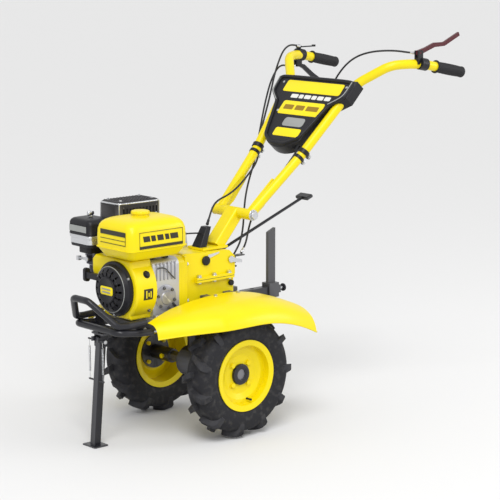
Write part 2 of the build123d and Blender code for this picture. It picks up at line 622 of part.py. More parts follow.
with BuildPart() as carburettor:
    add(block(268, 312, -180, -134, 552, 589.9))
    fillet(carburettor.edges().filter_by(Axis.Z), 8)
    add(rod((246.2, -157, 572), (268, -157, 572), 16))
    add(rod((290, -157, 522), (290, -157, 552), 19))
    add(rod((290, -157, 514), (290, -157, 523), 6))
    add(rod((312, -157, 570), (322, -157, 570), 10))

with BuildPart() as choke_lever:
    add(rod((322.4, -157, 570), (326, -157, 570), 8))
    add(block(322.4, 326, -190, -157, 566, 574))
    add(block(322.4, 334, -200, -188, 563, 577))

with BuildPart() as fuel_tap:
    add(rod((290, -183, 535), (290, -176.4, 535), 7))
    add(block(286, 294, -183, -179, 508, 535))

MUFFLER = (76, 236, -190, -96)
with BuildPart() as muffler:
    mx, my = (MUFFLER[0] + MUFFLER[1]) / 2, (MUFFLER[2] + MUFFLER[3]) / 2
    with BuildSketch(Plane(origin=at(mx, my, 652))):
        RectangleRounded(MUFFLER[1] - MUFFLER[0], MUFFLER[3] - MUFFLER[2], 22)
    extrude(amount=86)
    fillet(muffler.edges().group_by(Axis.Z)[-1], 14)
    fillet(muffler.edges().group_by(Axis.Z)[0], 10)
    with BuildSketch(Plane(origin=at(mx, my, 656))):
        RectangleRounded(MUFFLER[1] - MUFFLER[0] - 6, MUFFLER[3] - MUFFLER[2] - 6, 19)
    extrude(amount=76, mode=Mode.SUBTRACT)
    add(rod((165, -115, 617), (165, -115, 654), 12, 9))
    add(rod((80, -150, 690), (58, -150, 690), 11, 9))



def guard_hull(spread, low, high):
    """A rounded box that stands clear of the muffler by a given spread."""
    with BuildPart() as hull:
        with BuildSketch(Plane(origin=at(mx, my, low))):
            RectangleRounded(MUFFLER[1] - MUFFLER[0] + 2 * spread,
                             MUFFLER[3] - MUFFLER[2] + 2 * spread, 22)
        extrude(amount=high - low)
        fillet(hull.edges().group_by(Axis.Z)[-1], 13)
    return hull.part


with BuildPart() as muffler_guard:
    add(guard_hull(8, 668, 752))
    add(guard_hull(5.5, 660, 749.5), mode=Mode.SUBTRACT)
    for row in range(7):
        add(block(MUFFLER[0] + 12, MUFFLER[1] - 12, MUFFLER[2] + 4 + 13 * row,
                  MUFFLER[2] + 11 + 13 * row, 740, 760), mode=Mode.SUBTRACT)
    for column in range(11):
        x = MUFFLER[0] + 10 + 13.5 * column
        add(block(x, x + 6, -220, -60, 690, 730), mode=Mode.SUBTRACT)
    for y in (-150, -120):
        add(rod((60, y, 690), (80, y, 690), 16), mode=Mode.SUBTRACT)
    add(block(150, 180, MUFFLER[2] - 6, MUFFLER[2], 669, 676))



def shoulder_place(radius):
    """A place over the shroud's left shoulder, measured out from the crankshaft's axis."""
    return (277, radius * cos(radians(29.5)), CRANK_Z + radius * sin(radians(29.5)))


with BuildPart() as engine_switch:
    add(rod(shoulder_place(107.2), shoulder_place(114), 9))

# ---------------------------------------------------------------- engine bed and front bumper
BED_TOP = BASE_Z
with BuildPart() as engine_bed:
    for side in (1, -1):
        y0, y1 = sorted((side * 78, side * 104))
        add(block(36, 300, y0, y1, BED_TOP - 24, BED_TOP))
        y0, y1 = sorted((side * 62.2, side * 78))
        add(block(36, 96, y0, y1, BED_TOP - 8, BED_TOP + 14))
    add(block(268, 300, -104, 104, BED_TOP - 24, BED_TOP))
    add(block(140, 172, -104, 104, BED_TOP - 24, BED_TOP - 12))
    for x in (ENGINE_REAR + 24, SHROUD_REAR - 8):
        for y in (-90, 90):
            add(rod((x, y, BED_TOP - 25), (x, y, BED_TOP + 1), 5), mode=Mode.SUBTRACT)

with BuildPart() as front_bumper:
    lower = [(276, 116.3, 368), (330, 116.3, 372), (406, 112, 381), (406, -112, 381),
             (330, -116.3, 372), (276, -116.3, 368)]
    add(bent_tube(lower, [120, 30, 30, 120], BUMPER_R, 9))
    hoop = [(300, 115.4, 402), (372, 113, 400), (406, 108, 402), (466, 38, 481),
            (466, -38, 481), (406, -108, 402), (372, -113, 400), (300, -115.4, 402)]
    add(bent_tube(hoop, [60, 26, 26, 26, 26, 60], BUMPER_R))
    for side in (1, -1):
        y0, y1 = sorted((side * 104.1, side * 108))
        add(block(262, 330, y0, y1, 358, 398))
    add(block(330, 410, -13, 13, 365, 372))
    add(block(318, 342, -110, 110, 360, 367))

STAND_PIN = (390, 336)
with BuildPart() as stand_bracket:
    add(block(372, 404, -30, 30, 359, 364.9))
    for side in (1, -1):
        y0, y1 = sorted((side * 14, side * 19))
        add(block(376, 402, y0, y1, 320, 360))
    for side in (1, -1):
        y0, y1 = sorted((side * 19, side * 38))
        add(rod((STAND_PIN[0] + 20, y0, 343), (STAND_PIN[0] + 20, y1, 343), 3))
        y0, y1 = sorted((side * 14, side * 19))
        add(block(398, 414, y0, y1, 338, 352))
    add(rod((STAND_PIN[0], -20, STAND_PIN[1]), (STAND_PIN[0], 20, STAND_PIN[1]), 5))

FOOT_X = 418
with BuildPart() as stand_leg:
    lean = atan2(FOOT_X - STAND_PIN[0], STAND_PIN[1])
    base = Plane(origin=at(FOOT_X, 0, 4), x_dir=(cos(lean), 0, sin(lean)),
                 z_dir=(-sin(lean), 0, cos(lean)))
    with BuildSketch(base):
        RectangleRounded(26, 26, 4)
    extrude(amount=346)
    add(block(FOOT_X - 26, FOOT_X + 26, -32, 32, 0, 5))
    add(block(FOOT_X - 60, FOOT_X + 60, -40, 40, -20, 0), mode=Mode.SUBTRACT)
    add(rod((STAND_PIN[0], -20, STAND_PIN[1]), (STAND_PIN[0], 20, STAND_PIN[1]), 5.05),
        mode=Mode.SUBTRACT)
    add(rod((409, -38, 212), (409, 38, 212), 3))

with BuildPart() as stand_springs:
    for side in (1, -1):
        add(rod((410, side * 34, 339.7), (409, side * 34, 215.3), 3.4))

# ---------------------------------------------------------------- fenders
FENDER_STATIONS = [304, 270, 220, 165, 110, 50, -20, -90, -160, -225, -275]
FENDER_WALL = 2.5


def fender_section(x, side):
    """Section of a fender across the machine: a flat top, a rounded shoulder and an outer lip."""
    inner = 112 + max(0, (x - 200) * 0.17)
    if x > 110:
        outer = 292 - (x - 110) * 0.56
    else:
        outer = 292 + 8 * sin(radians(90 * min(1, (110 - x) / 120)))
    if x < -160:
        outer -= (-160 - x) * 0.06
    if x > -20:
        top = 452 - 0.00046 * (x + 20) ** 2
    else:
        top = 452 - 0.00085 * (x + 20) ** 2
    if x > -20:
        lip = 379 - 0.00020 * (x + 20) ** 2
    else:
        lip = 379 - 0.00100 * (x + 20) ** 2
    rise = top - lip
    shape = [(0, 1.0), (0.35, 0.97), (0.62, 0.87), (0.84, 0.62), (0.95, 0.32), (1.0, 0.0)]
    skin = [(inner + (outer - inner) * u, lip + rise * v) for u, v in shape]
    under = [(y - FENDER_WALL * (0.4 + 0.6 * k / 5), z - FENDER_WALL * (1 - 0.55 * k / 5))
             for k, (y, z) in enumerate(skin)]
    ring = [(side * y, z) for y, z in skin + under[::-1]]
    with BuildSketch(front_plane(x)) as section:
        Polygon(*ring, align=None)
    return section.sketch


with BuildPart() as fenders:
    for side in (1, -1):
        loft([fender_section(x, side) for x in FENDER_STATIONS], ruled=True)

# ---------------------------------------------------------------- hitch and depth bar
BAR_X = -336
with BuildPart() as hitch_bar:
    add(block(CASE_REAR - 0.1 - 30, CASE_REAR - 0.1, -40, 40, 392, 446))
    add(block(BAR_X - 36, CASE_REAR - 20, -13, 13, 392, 418))
    add(block(BAR_X - 22, BAR_X + 22, -19, 19, 380, 430))
    add(block(BAR_X - 16.2, BAR_X + 16.2, -6.2, 6.2, 379, 431), mode=Mode.SUBTRACT)
    add(rod((-250, 0, 391), (-250, 0, 419), 8.5), mode=Mode.SUBTRACT)
    add(rod((BAR_X - 46, 0, 405), (BAR_X - 12, 0, 405), 5.2), mode=Mode.SUBTRACT)

with BuildPart() as depth_bar:
    with BuildSketch(side_plane(6)):
        Polygon((BAR_X - 16, 366), (BAR_X + 16, 366), (BAR_X + 16, 604), (BAR_X - 16, 618),
                align=None)
    extrude(amount=12)

# ---------------------------------------------------------------- column and handlebar
with BuildPart() as column:
    add(block(-108, -2, -40, 40, CASE_TOP + 0.1, CASE_TOP + 8))
    foot = Plane(origin=at(-82, 0, CASE_TOP + 4), x_dir=(0, 1, 0),
                 z_dir=(PIVOT[0] + 82, 0, PIVOT[1] - CASE_TOP - 4))
    with BuildSketch(foot):
        RectangleRounded(56, 42, 8)
    extrude(amount=142)
    add(rod((PIVOT[0], -60, PIVOT[1]), (PIVOT[0], 60, PIVOT[1]), HUB_R))
    add(block(-140, -14, -60, 60, CASE_TOP - 30, CASE_TOP + 0.1), mode=Mode.SUBTRACT)
    add(rod((PIVOT[0], -100, PIVOT[1]), (PIVOT[0], 100, PIVOT[1]), 8.05), mode=Mode.SUBTRACT)

LEFT_RUN = [(-180, 77, 696), (-376, 113, 878), (-575, 158, 1100), (-650, 250, 1166),
            (-735, 300, 1172), (-935, 309, 1133)]
RUN_RADII = [400, 120, 110, 200]


def mirrored(points):
    """The same places on the machine's right."""
    return [(x, -y, z) for x, y, z in points]




def gusset(side):
    """A flat plate that spreads the tube's lower end over its hub."""
    run = Vector(LEFT_RUN[1][0] - PIVOT[0], 0, LEFT_RUN[1][2] - PIVOT[1]).normalized()
    with BuildPart() as plate:
        with BuildSketch(side_plane(80 if side > 0 else -72)):
            Polygon((PIVOT[0] + HUB_R * run.Z, PIVOT[1] - HUB_R * run.X),
                    (PIVOT[0] + 150 * run.X + 12 * run.Z, PIVOT[1] + 150 * run.Z - 12 * run.X),
                    (PIVOT[0] + 150 * run.X - 12 * run.Z, PIVOT[1] + 150 * run.Z + 12 * run.X),
                    (PIVOT[0] + 60 * run.X - 25 * run.Z, PIVOT[1] + 60 * run.Z + 25 * run.X),
                    (PIVOT[0] - HUB_R * run.Z, PIVOT[1] + HUB_R * run.X), align=None)
        extrude(amount=8)
    return plate.part


with BuildPart() as handlebar_tubes:
    add(bent_tube(LEFT_RUN, RUN_RADII, TUBE_R, TUBE_R - TUBE_WALL))
    add(bent_tube(mirrored(LEFT_RUN), RUN_RADII, TUBE_R, TUBE_R - TUBE_WALL))
    for side in (1, -1):
        add(gusset(side))
        add(rod((PIVOT[0], side * 60.4, PIVOT[1]), (PIVOT[0], side * 94, PIVOT[1]), HUB_R))
        add(rod((PIVOT[0], side * 50, PIVOT[1]), (PIVOT[0], side * 95, PIVOT[1]), 8.05),
            mode=Mode.SUBTRACT)

GRIP_DIR = (-200 / 204, 9 / 204, -39 / 204)


def grip_place(reach, side):
    """A place on the grip's axis, measured back from the start of the grip."""
    start = (-812, 303.5, 1157)
    return (start[0] + GRIP_DIR[0] * reach, side * (start[1] + GRIP_DIR[1] * reach),
            start[2] + GRIP_DIR[2] * reach)


with BuildPart() as grips:
    for side in (1, -1):
        add(rod(grip_place(0, side), grip_place(133, side), GRIP_R))
        add(rod(grip_place(0, side), grip_place(4, side), GRIP_R + 3))
        add(rod(grip_place(-10, side), grip_place(125.6, side), TUBE_R), mode=Mode.SUBTRACT)

CONSOLE_DIR = (-199, 0, 222)
with BuildPart() as console:
    face = Plane(origin=at(-487, 0, 1002), x_dir=(0, 1, 0), z_dir=(222, 0, 199))
    with BuildSketch(face.offset(-20)):
        with BuildLine():
            Polyline((-84, -130), (-128, 20), (-180, 60), (-184, 132), (184, 132), (180, 60),
                     (128, 20), (84, -130))
            ThreePointArc((84, -130), (0, -164), (-84, -130))
        make_face()
    extrude(amount=44)
    chamfer(console.edges().group_by(Axis((0, 0, 0), (222, 0, 199)))[-1], 6)
    with BuildSketch(face.offset(-20)):
        with BuildLine():
            Polyline((-76, -122), (-120, 22), (-136, 124), (136, 124), (120, 22), (76, -122), close=True)
        make_face()
    extrude(amount=36, mode=Mode.SUBTRACT)
    with BuildSketch(face.offset(-21)):
        with Locations((53, 128)):
            Rectangle(26, 24)
        with Locations((66, -145)):
            Rectangle(22, 60)
    extrude(amount=30, mode=Mode.SUBTRACT)
    for run in (LEFT_RUN, mirrored(LEFT_RUN)):
        add(bent_tube(run, RUN_RADII, TUBE_R + 0.1), mode=Mode.SUBTRACT)

# ---------------------------------------------------------------- hand controls
CLAMP = (-752, 300.8, 1168.7)       # on the handlebar's axis, just ahead of the grip
CLUTCH_PIVOT = (-735, 300, 1207)
REVERSE_PIVOT = (-742, -300, 1134)
THROTTLE_PIVOT = (-746, -300, 1196)


def lever_clamp(side, pivot):
    """A ring round the handlebar with two ears that carry a lever's pin."""
    x, y, z = pivot
    run = LEFT_RUN if side > 0 else mirrored(LEFT_RUN)
    along = (Vector(*LEFT_RUN[5]) - Vector(*LEFT_RUN[4])).normalized() * 16
    ahead = (CLAMP[0] - along.X, side * (CLAMP[1] - along.Y), CLAMP[2] - along.Z)
    behind = (CLAMP[0] + along.X, side * (CLAMP[1] + along.Y), CLAMP[2] + along.Z)
    low, high = sorted((CLAMP[2], z + (8 if z > CLAMP[2] else -8)))
    with BuildPart() as clamp:
        add(rod(ahead, behind, TUBE_R + 5))
        add(block(x - 12, x + 12, y - 9, y + 9, low, high))
        low, high = sorted((CLAMP[2] + (22.5 if z > CLAMP[2] else -22.5), z * 2 - CLAMP[2]))
        add(block(x - 13, x + 13, y - 4.4, y + 4.4, low, high), mode=Mode.SUBTRACT)
        add(rod((x, y - 10, z), (x, y + 10, z), 3.5), mode=Mode.SUBTRACT)
        add(bent_tube(run, RUN_RADII, TUBE_R), mode=Mode.SUBTRACT)
    return clamp.part


with BuildPart() as lever_clamps:
    add(lever_clamp(1, CLUTCH_PIVOT))
    add(lever_clamp(-1, REVERSE_PIVOT))
    tx, ty, tz = THROTTLE_PIVOT
    add(rod((tx, ty, 1186), (tx, ty, tz - 2.3), 8))

with BuildPart() as clutch_lever:
    x, y, z = CLUTCH_PIVOT
    with BuildSketch(side_plane(y + 4)):
        Polygon((x + 10, z - 6), (x + 10, z + 8), (x - 30, z + 17), (x - 72, z + 31),
                (x - 120, z + 31), (x - 194, z + 62), (x - 199, z + 50), (x - 124, z + 18),
                (x - 74, z + 16), (x - 30, z + 2), (x - 6, z - 6), align=None)
    extrude(amount=8)
    add(rod((x, y - 8.9, z), (x, y + 8.9, z), 3.45))

with BuildPart() as reverse_lever:
    x, y, z = REVERSE_PIVOT
    with BuildSketch(side_plane(y + 4)):
        Polygon((x + 10, z - 8), (x + 10, z + 6), (x - 30, z - 2), (x - 76, z - 36),
                (x - 140, z - 74), (x - 146, z - 86), (x - 134, z - 88), (x - 70, z - 52),
                (x - 26, z - 18), (x - 8, z - 9), align=None)
    extrude(amount=8)
    add(rod((x, y - 8.9, z), (x, y + 8.9, z), 3.45))

with BuildPart() as throttle_lever:
    add(rod((tx, ty, tz - 2), (tx, ty, tz + 4), 11))
    add(block(tx - 74, tx, ty - 4, ty + 4, tz - 2, tz + 2))
    add(rod((tx - 74, ty, tz - 2), (tx - 74, ty, tz + 5), 7))
    add(rod((tx, ty, tz + 4), (tx, ty, tz + 9), 5))

# ---------------------------------------------------------------- cable ends at the gearbox
ARM_PIVOT = (-100, 548)         # clutch arm's shaft, X and Z
with BuildPart() as clutch_arm:
    ax, az = ARM_PIVOT
    add(rod((ax, CASE_HALF + 2.3, az), (ax, CASE_HALF + 6.3, az), 11))
    with BuildSketch(side_plane(CASE_HALF + 6.3)):
        Polygon((ax, az + 9), (ax - 46, az - 6), (ax - 46, az - 16), (ax, az - 9), align=None)
    extrude(amount=4)
    add(rod((ax, CASE_HALF - 6, az), (ax, CASE_HALF + 2.3, az), 5))

with BuildPart() as brackets:
    add(block(-152, CASE_REAR - 0.1, 2, 34, 512, 517))
    add(block(CASE_REAR - 4, CASE_REAR - 0.1, 2, 34, 500, 540))
    add(rod((-146, 12, 511), (-146, 12, 532), 5.5))
    add(block(-156, CASE_REAR - 0.1, 50, 70, 555, 559))
    add(block(CASE_REAR - 4, CASE_REAR - 0.1, 50, 62, 532, 559))
    for side in (1, -1):
        for x in (-96, 2):
            y0, y1 = sorted((side * 62.1, side * 66))
            add(block(x, x + 30, y0, y1, 400, 444))
            y0, y1 = sorted((side * 62.1, side * 150))
            add(block(x, x + 30, y0, y1, 440, 443))

BOX_TOP = 655
with BuildPart() as cable_box:
    with BuildSketch(Plane(origin=at(-18, 0, CASE_TOP + 8.4))):
        RectangleRounded(30, 46, 5)
    with BuildSketch(Plane(origin=at(-48, 0, BOX_TOP))):
        RectangleRounded(22, 32, 5)
    loft()

# ---------------------------------------------------------------- control cables
CLUTCH_ROUTE = [(-727, 287.5, 1206), (-703, 279, 1209), (-668, 262, 1215), (-634, 236, 1216),
                (-610, 198, 1211), (-594, 154, 1197), (-592, 108, 1172), (-592, 68, 1137),
                (-574, 50, 1093), (-540, 52, 1049), (-504, 60, 1006), (-468, 67, 964),
                (-434, 67, 922), (-396, 65, 883), (-356, 68, 845), (-316, 64, 805),
                (-278, 56, 764), (-246, 45, 722), (-222, 36, 678), (-206, 34, 638),
                (-190, 42, 602), (-170, 53, 581), (-149, 60, 562.6)]
REVERSE_ROUTE = [(-728, -300, 1130), (-702, -299, 1126), (-664, -290, 1136), (-628, -276, 1134),
                 (-592, -259, 1116), (-556, -242, 1086), (-522, -222, 1048), (-490, -203, 1004),
                 (-460, -184, 958), (-430, -164, 912), (-399, -143, 868), (-364, -114, 830),
                 (-322, -84, 800), (-282, -56, 766), (-248, -31, 726), (-222, -8, 684),
                 (-204, 8, 636), (-186, 15, 590), (-162, 14, 556), (-147, 12, 534.6)]
THROTTLE_ROUTE = [(-736, -285.2, 1200), (-706, -280, 1206), (-668, -270, 1207), (-634, -262, 1190),
                  (-604, -252, 1156), (-572, -238, 1114), (-540, -219, 1068), (-506, -198, 1022),
                  (-470, -178, 976), (-438, -162, 926), (-408, -140, 876), (-376, -110, 842),
                  (-338, -82, 824), (-296, -66, 800), (-254, -58, 772), (-214, -50, 752),
                  (-176, -42, 740), (-140, -33, 734), (-108, -22, 726), (-84, -12, 708),
                  (-68, -6, 684), (-54, -2, BOX_TOP + 3.6)]

cable_lines = {}
for label, line in (("clutch", CLUTCH_ROUTE), ("reverse", REVERSE_ROUTE),
                    ("throttle", THROTTLE_ROUTE)):
    arcs = route_radii(line)
    cable_lines[label] = bent_tube(line, arcs, CABLE_R)
    runs = [(Vector(*b) - Vector(*a)).length for a, b in zip(line, line[1:])]
    print(label, "runs", [round(r) for r in runs], "radii", [round(r) for r in arcs])
    length = cable_lines[label].volume / (pi * CABLE_R ** 2)
    print(label, "length", round(length), "of runs", round(sum(runs)))

with BuildPart() as control_cables:
    for piece in cable_lines.values():
        add(piece)

# ---------------------------------------------------------------- fasteners
with BuildPart() as fasteners:
    for x, y in SEAM_BOLTS:
        add(rod((x, y, CRANK_Z - 14), (x, y, CRANK_Z + 8.1), 4))
        add(rod((x, y, CRANK_Z + 8.1), (x, y, CRANK_Z + 14), 6.5))
    for y, z in BELL_BOLTS:
        add(rod((CASE_FRONT - 16, y, z), (CASE_FRONT - 10.1, y, z), 6.5))
        add(rod((CASE_FRONT - 10.1, y, z), (ENGINE_REAR + 10, y, z), 4))
    for x in (ENGINE_REAR + 24, SHROUD_REAR - 8):
        for y in (-90, 90):
            add(rod((x, y, BED_TOP - 24), (x, y, BASE_Z + 12.1), 4.8))
            add(rod((x, y, BASE_Z + 12.1), (x, y, BASE_Z + 19), 5.9))
            add(rod((x, y, BED_TOP - 31), (x, y, BED_TOP - 24.1), 8))
    add(rod((BAR_X - 60, 0, 405), (BAR_X - 16.1, 0, 405), 5))
    add(rod((BAR_X - 62, 0, 405), (BAR_X - 54, 0, 405), 10))
    add(rod((PIVOT[0], -100, PIVOT[1]), (PIVOT[0], 100, PIVOT[1]), 8))
    for side in (1, -1):
        add(rod((PIVOT[0], side * 94.3, PIVOT[1]), (PIVOT[0], side * 104, PIVOT[1]), 13))

# ---------------------------------------------------------------- named pieces
PIECES = {
    "engine_bed": engine_bed, "front_bumper": front_bumper, "stand_bracket": stand_bracket,
    "crankcase": crankcase, "cylinder_head": cylinder_head, "rocker_cover": rocker_cover,
    "spark_plug": spark_plug, "fan_shroud": fan_shroud, "recoil_housing": recoil_housing,
    "fuel_tank": fuel_tank, "air_cleaner": air_cleaner, "air_cleaner_knob": air_cleaner_knob,
    "carburettor": carburettor, "muffler": muffler, "muffler_guard": muffler_guard,
    "clutch_bell": clutch_bell, "gearbox_case": gearbox_case, "gearbox_cover": gearbox_cover,
    "lower_case": lower_case, "bearings": bearings, "fenders": fenders,
    "brackets": brackets, "hitch_bar": hitch_bar, "column": column,
    "cable_box": cable_box, "fasteners": fasteners,
    "axle_shaft": axle_shaft, "final_gear": final_gear, "wheel_hubs": wheel_hubs,
    "rims": rims, "tyre_left": tyre_left, "tyre_right": tyre_right,
    "wheel_bolts": wheel_bolts, "drive_shaft": drive_shaft, "layshaft": layshaft,
    "input_shaft": input_shaft, "clutch_disc": clutch_disc, "sliding_gear": sliding_gear,
    "shift_fork": shift_fork, "shift_rod": shift_rod, "crankshaft": crankshaft,
    "flywheel": flywheel, "starter_pulley": starter_pulley, "starter_grip": starter_grip,
    "tank_cap": tank_cap, "choke_lever": choke_lever, "fuel_tap": fuel_tap,
    "engine_switch": engine_switch, "clutch_arm": clutch_arm, "stand_leg": stand_leg,
    "stand_springs": stand_springs, "depth_bar": depth_bar, "handlebar_tubes": handlebar_tubes,
    "console": console, "grips": grips, "lever_clamps": lever_clamps,
    "clutch_lever": clutch_lever, "reverse_lever": reverse_lever,
    "throttle_lever": throttle_lever, "control_cables": control_cables,
}
os.makedirs("parts", exist_ok=True)
for name, piece in PIECES.items():
    piece.part.label = name
    export_step(piece.part, "parts/" + name + ".step")

low_x = min(piece.part.bounding_box().min.X for piece in PIECES.values())
high_x = max(piece.part.bounding_box().max.X for piece in PIECES.values())
print("pieces", len(PIECES), "length", round(low_x, 2), round(high_x, 2))
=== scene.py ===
import json
from math import cos, pi, radians, sin

import bmesh
import bpy
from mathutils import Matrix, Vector


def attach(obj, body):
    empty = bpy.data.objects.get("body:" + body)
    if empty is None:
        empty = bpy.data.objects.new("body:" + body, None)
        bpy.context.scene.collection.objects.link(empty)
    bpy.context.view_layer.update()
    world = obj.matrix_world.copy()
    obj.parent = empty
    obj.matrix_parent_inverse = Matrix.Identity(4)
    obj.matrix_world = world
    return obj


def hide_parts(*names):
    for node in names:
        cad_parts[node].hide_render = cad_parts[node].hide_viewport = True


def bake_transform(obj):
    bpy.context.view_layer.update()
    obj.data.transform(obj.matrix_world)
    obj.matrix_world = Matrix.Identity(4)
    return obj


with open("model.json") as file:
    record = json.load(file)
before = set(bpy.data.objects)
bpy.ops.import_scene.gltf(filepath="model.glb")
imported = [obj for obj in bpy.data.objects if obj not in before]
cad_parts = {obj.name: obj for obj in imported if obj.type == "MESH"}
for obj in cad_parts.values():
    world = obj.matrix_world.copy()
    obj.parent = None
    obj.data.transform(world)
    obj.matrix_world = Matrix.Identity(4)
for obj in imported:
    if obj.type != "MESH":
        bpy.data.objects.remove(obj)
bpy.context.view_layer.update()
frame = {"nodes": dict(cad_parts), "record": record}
nodes = frame["nodes"]
AXLE_X = 234.6      # mm from the origin to the axle line, as in the CAD
WHEEL_Y = 210       # mm out to the middle of a tyre
WHEEL_Z = 205       # mm up to the axle
CRANK_Z = 497       # mm up to the crankshaft
SHROUD_R = 106.1    # mm from the crankshaft out to the fan shroud's skin, with a little air
GUARD_X, GUARD_Y = 156, -143    # the middle of the exhaust guard
CAP_X, CAP_Y = 250, 30          # the middle of the fuel tank's neck


def at(x, y, z):
    """A place in metres from millimetres measured from the axle line."""
    return Vector(((AXLE_X + x) / 1000, y / 1000, z / 1000))


# ---------------------------------------------------------------- materials
def material(name, color, rough, metal=0.0, coat=0.0, grain=0.1, scale=400.0, vary=0.08,
             spots=16.0, edge=None, dust=0.0, round_mm=0.8):
    """A surface with uneven colour, uneven gloss, a fine grain, softened edges and edge wear."""
    m = bpy.data.materials.new(name)
    m.use_nodes = True
    tree = m.node_tree
    new, link = tree.nodes.new, tree.links.new
    shader = tree.nodes["Principled BSDF"]
    shader.inputs["Metallic"].default_value = metal
    shader.inputs["Coat Weight"].default_value = coat
    shader.inputs["Coat Roughness"].default_value = 0.2
    shader.inputs["Specular IOR Level"].default_value = 0.28
    place = new("ShaderNodeTexCoord").outputs["Object"]
    cloud = new("ShaderNodeTexNoise")
    cloud.inputs["Scale"].default_value = spots
    cloud.inputs["Detail"].default_value = 5
    link(place, cloud.inputs["Vector"])
    tone = new("ShaderNodeMix")
    tone.data_type = "RGBA"
    tone.inputs[6].default_value = (*[c * (1 - vary) for c in color], 1)
    tone.inputs[7].default_value = (*[min(1, c * (1 + vary)) for c in color], 1)
    link(cloud.outputs["Fac"], tone.inputs[0])
    out = tone.outputs[2]
    if dust:
        fine = new("ShaderNodeTexNoise")
        fine.inputs["Scale"].default_value = 55
        fine.inputs["Detail"].default_value = 8
        link(place, fine.inputs["Vector"])
        limit = new("ShaderNodeMapRange")
        limit.inputs["From Min"].default_value = 0.5
        limit.inputs["From Max"].default_value = 0.75
        limit.inputs["To Max"].default_value = dust
        link(fine.outputs["Fac"], limit.inputs["Value"])
        dusty = new("ShaderNodeMix")
        dusty.data_type = "RGBA"
        dusty.inputs[7].default_value = (0.30, 0.28, 0.25, 1)
        link(limit.outputs["Result"], dusty.inputs[0])
        link(out, dusty.inputs[6])
        out = dusty.outputs[2]
    if edge:
        point = new("ShaderNodeNewGeometry").outputs["Pointiness"]
        worn = new("ShaderNodeMapRange")
        worn.inputs["From Min"].default_value = 0.54
        worn.inputs["From Max"].default_value = 0.64
        worn.inputs["To Max"].default_value = 0.6
        link(point, worn.inputs["Value"])
        rub = new("ShaderNodeMix")
        rub.data_type = "RGBA"
        rub.inputs[7].default_value = (*edge, 1)
        link(worn.outputs["Result"], rub.inputs[0])
        link(out, rub.inputs[6])
        out = rub.outputs[2]
    link(out, shader.inputs["Base Color"])
    gloss = new("ShaderNodeMapRange")
    gloss.inputs["To Min"].default_value = max(0.02, rough - 0.07)
    gloss.inputs["To Max"].default_value = min(1.0, rough + 0.09)
    link(cloud.outputs["Fac"], gloss.inputs["Value"])
    link(gloss.outputs["Result"], shader.inputs["Roughness"])
    soft = new("ShaderNodeBevel")
    soft.samples = 4
    soft.inputs["Radius"].default_value = round_mm / 1000
    grit = new("ShaderNodeTexNoise")
    grit.inputs["Scale"].default_value = scale
    grit.inputs["Detail"].default_value = 4
    link(place, grit.inputs["Vector"])
    bump = new("ShaderNodeBump")
    bump.inputs["Strength"].default_value = grain
    bump.inputs["Distance"].default_value = 0.0006
    link(grit.outputs["Fac"], bump.inputs["Height"])
    link(soft.outputs["Normal"], bump.inputs["Normal"])
    link(bump.outputs["Normal"], shader.inputs["Normal"])
    return m


YELLOW = (0.80, 0.64, 0.0)
MATS = {
    "yellow_paint": material("yellow_paint", YELLOW, 0.36, coat=0.12, grain=0.06, scale=220,
                             vary=0.04, round_mm=1.2),
    "black_paint": material("black_paint", (0.013, 0.013, 0.017), 0.34, coat=0.25, grain=0.12,
                            vary=0.25, edge=(0.12, 0.12, 0.13)),
    "cast_alloy": material("cast_alloy", (0.36, 0.36, 0.40), 0.44, metal=0.85, grain=0.6,
                           scale=500, vary=0.35, spots=30, edge=(0.72, 0.73, 0.76)),
    "steel": material("steel", (0.62, 0.63, 0.65), 0.30, metal=1.0, grain=0.15, scale=900,
                      vary=0.1),
    "dark_steel": material("dark_steel", (0.10, 0.10, 0.11), 0.38, metal=0.9, grain=0.2,
                           vary=0.2, edge=(0.35, 0.35, 0.37)),
    "tyre_rubber": material("tyre_rubber", (0.014, 0.014, 0.017), 0.68, grain=0.5, scale=260,
                            vary=0.25, dust=0.10, edge=(0.04, 0.04, 0.045)),
    "black_plastic": material("black_plastic", (0.012, 0.012, 0.015), 0.38, grain=0.4,
                              scale=650, vary=0.2),
    "grip_rubber": material("grip_rubber", (0.018, 0.018, 0.02), 0.58, grain=0.4, scale=500,
                            vary=0.2),
    "hot_steel": material("hot_steel", (0.035, 0.034, 0.036), 0.48, metal=0.3, grain=0.35,
                          scale=500, vary=0.3, edge=(0.30, 0.29, 0.30)),
    "red_plastic": material("red_plastic", (0.07, 0.003, 0.008), 0.32, coat=0.2, grain=0.1,
                            vary=0.15),
    "cable_black": material("cable_black", (0.02, 0.02, 0.022), 0.45, grain=0.2, scale=800,
                            vary=0.15),
}
SILVER = material("silver_trim", (0.66, 0.67, 0.69), 0.28, metal=0.9, grain=0.08, vary=0.05)
DECAL_DARK = material("decal_dark", (0.035, 0.032, 0.02), 0.35, grain=0.02, vary=0.1)
# grey for printed marks, and also a painted highlight: the recoil's middle ring and the console's
# edge lines
GREY_PRINT_AND_HIGHLIGHT = material("grey_print_and_painted_highlight", (0.30, 0.31, 0.30), 0.38, grain=0.02, vary=0.1)
DECAL_BROWN = material("decal_brown", (0.28, 0.17, 0.01), 0.38, grain=0.02, vary=0.1)
DECAL_WHITE = material("decal_white", (0.72, 0.72, 0.68), 0.35, grain=0.02, vary=0.05)
DECAL_YELLOW = material("decal_yellow", (0.86, 0.70, 0.01), 0.34, grain=0.02, vary=0.05)
DARK_CAST = material("dark_cast", (0.05, 0.05, 0.065), 0.45, metal=0.6, grain=0.5, scale=500,
                     vary=0.3, edge=(0.3, 0.3, 0.33))

SLOT_OF = {s["node"]: s["material_slot"] for s in frame["record"]["subparts"]}
for name, obj in nodes.items():
    for place in obj.material_slots:
        place.material = MATS[SLOT_OF[name]]
for place in nodes["carburettor"].material_slots:
    place.material = DARK_CAST
for place in nodes["wheel_bolts"].material_slots:
    place.material = MATS["yellow_paint"]


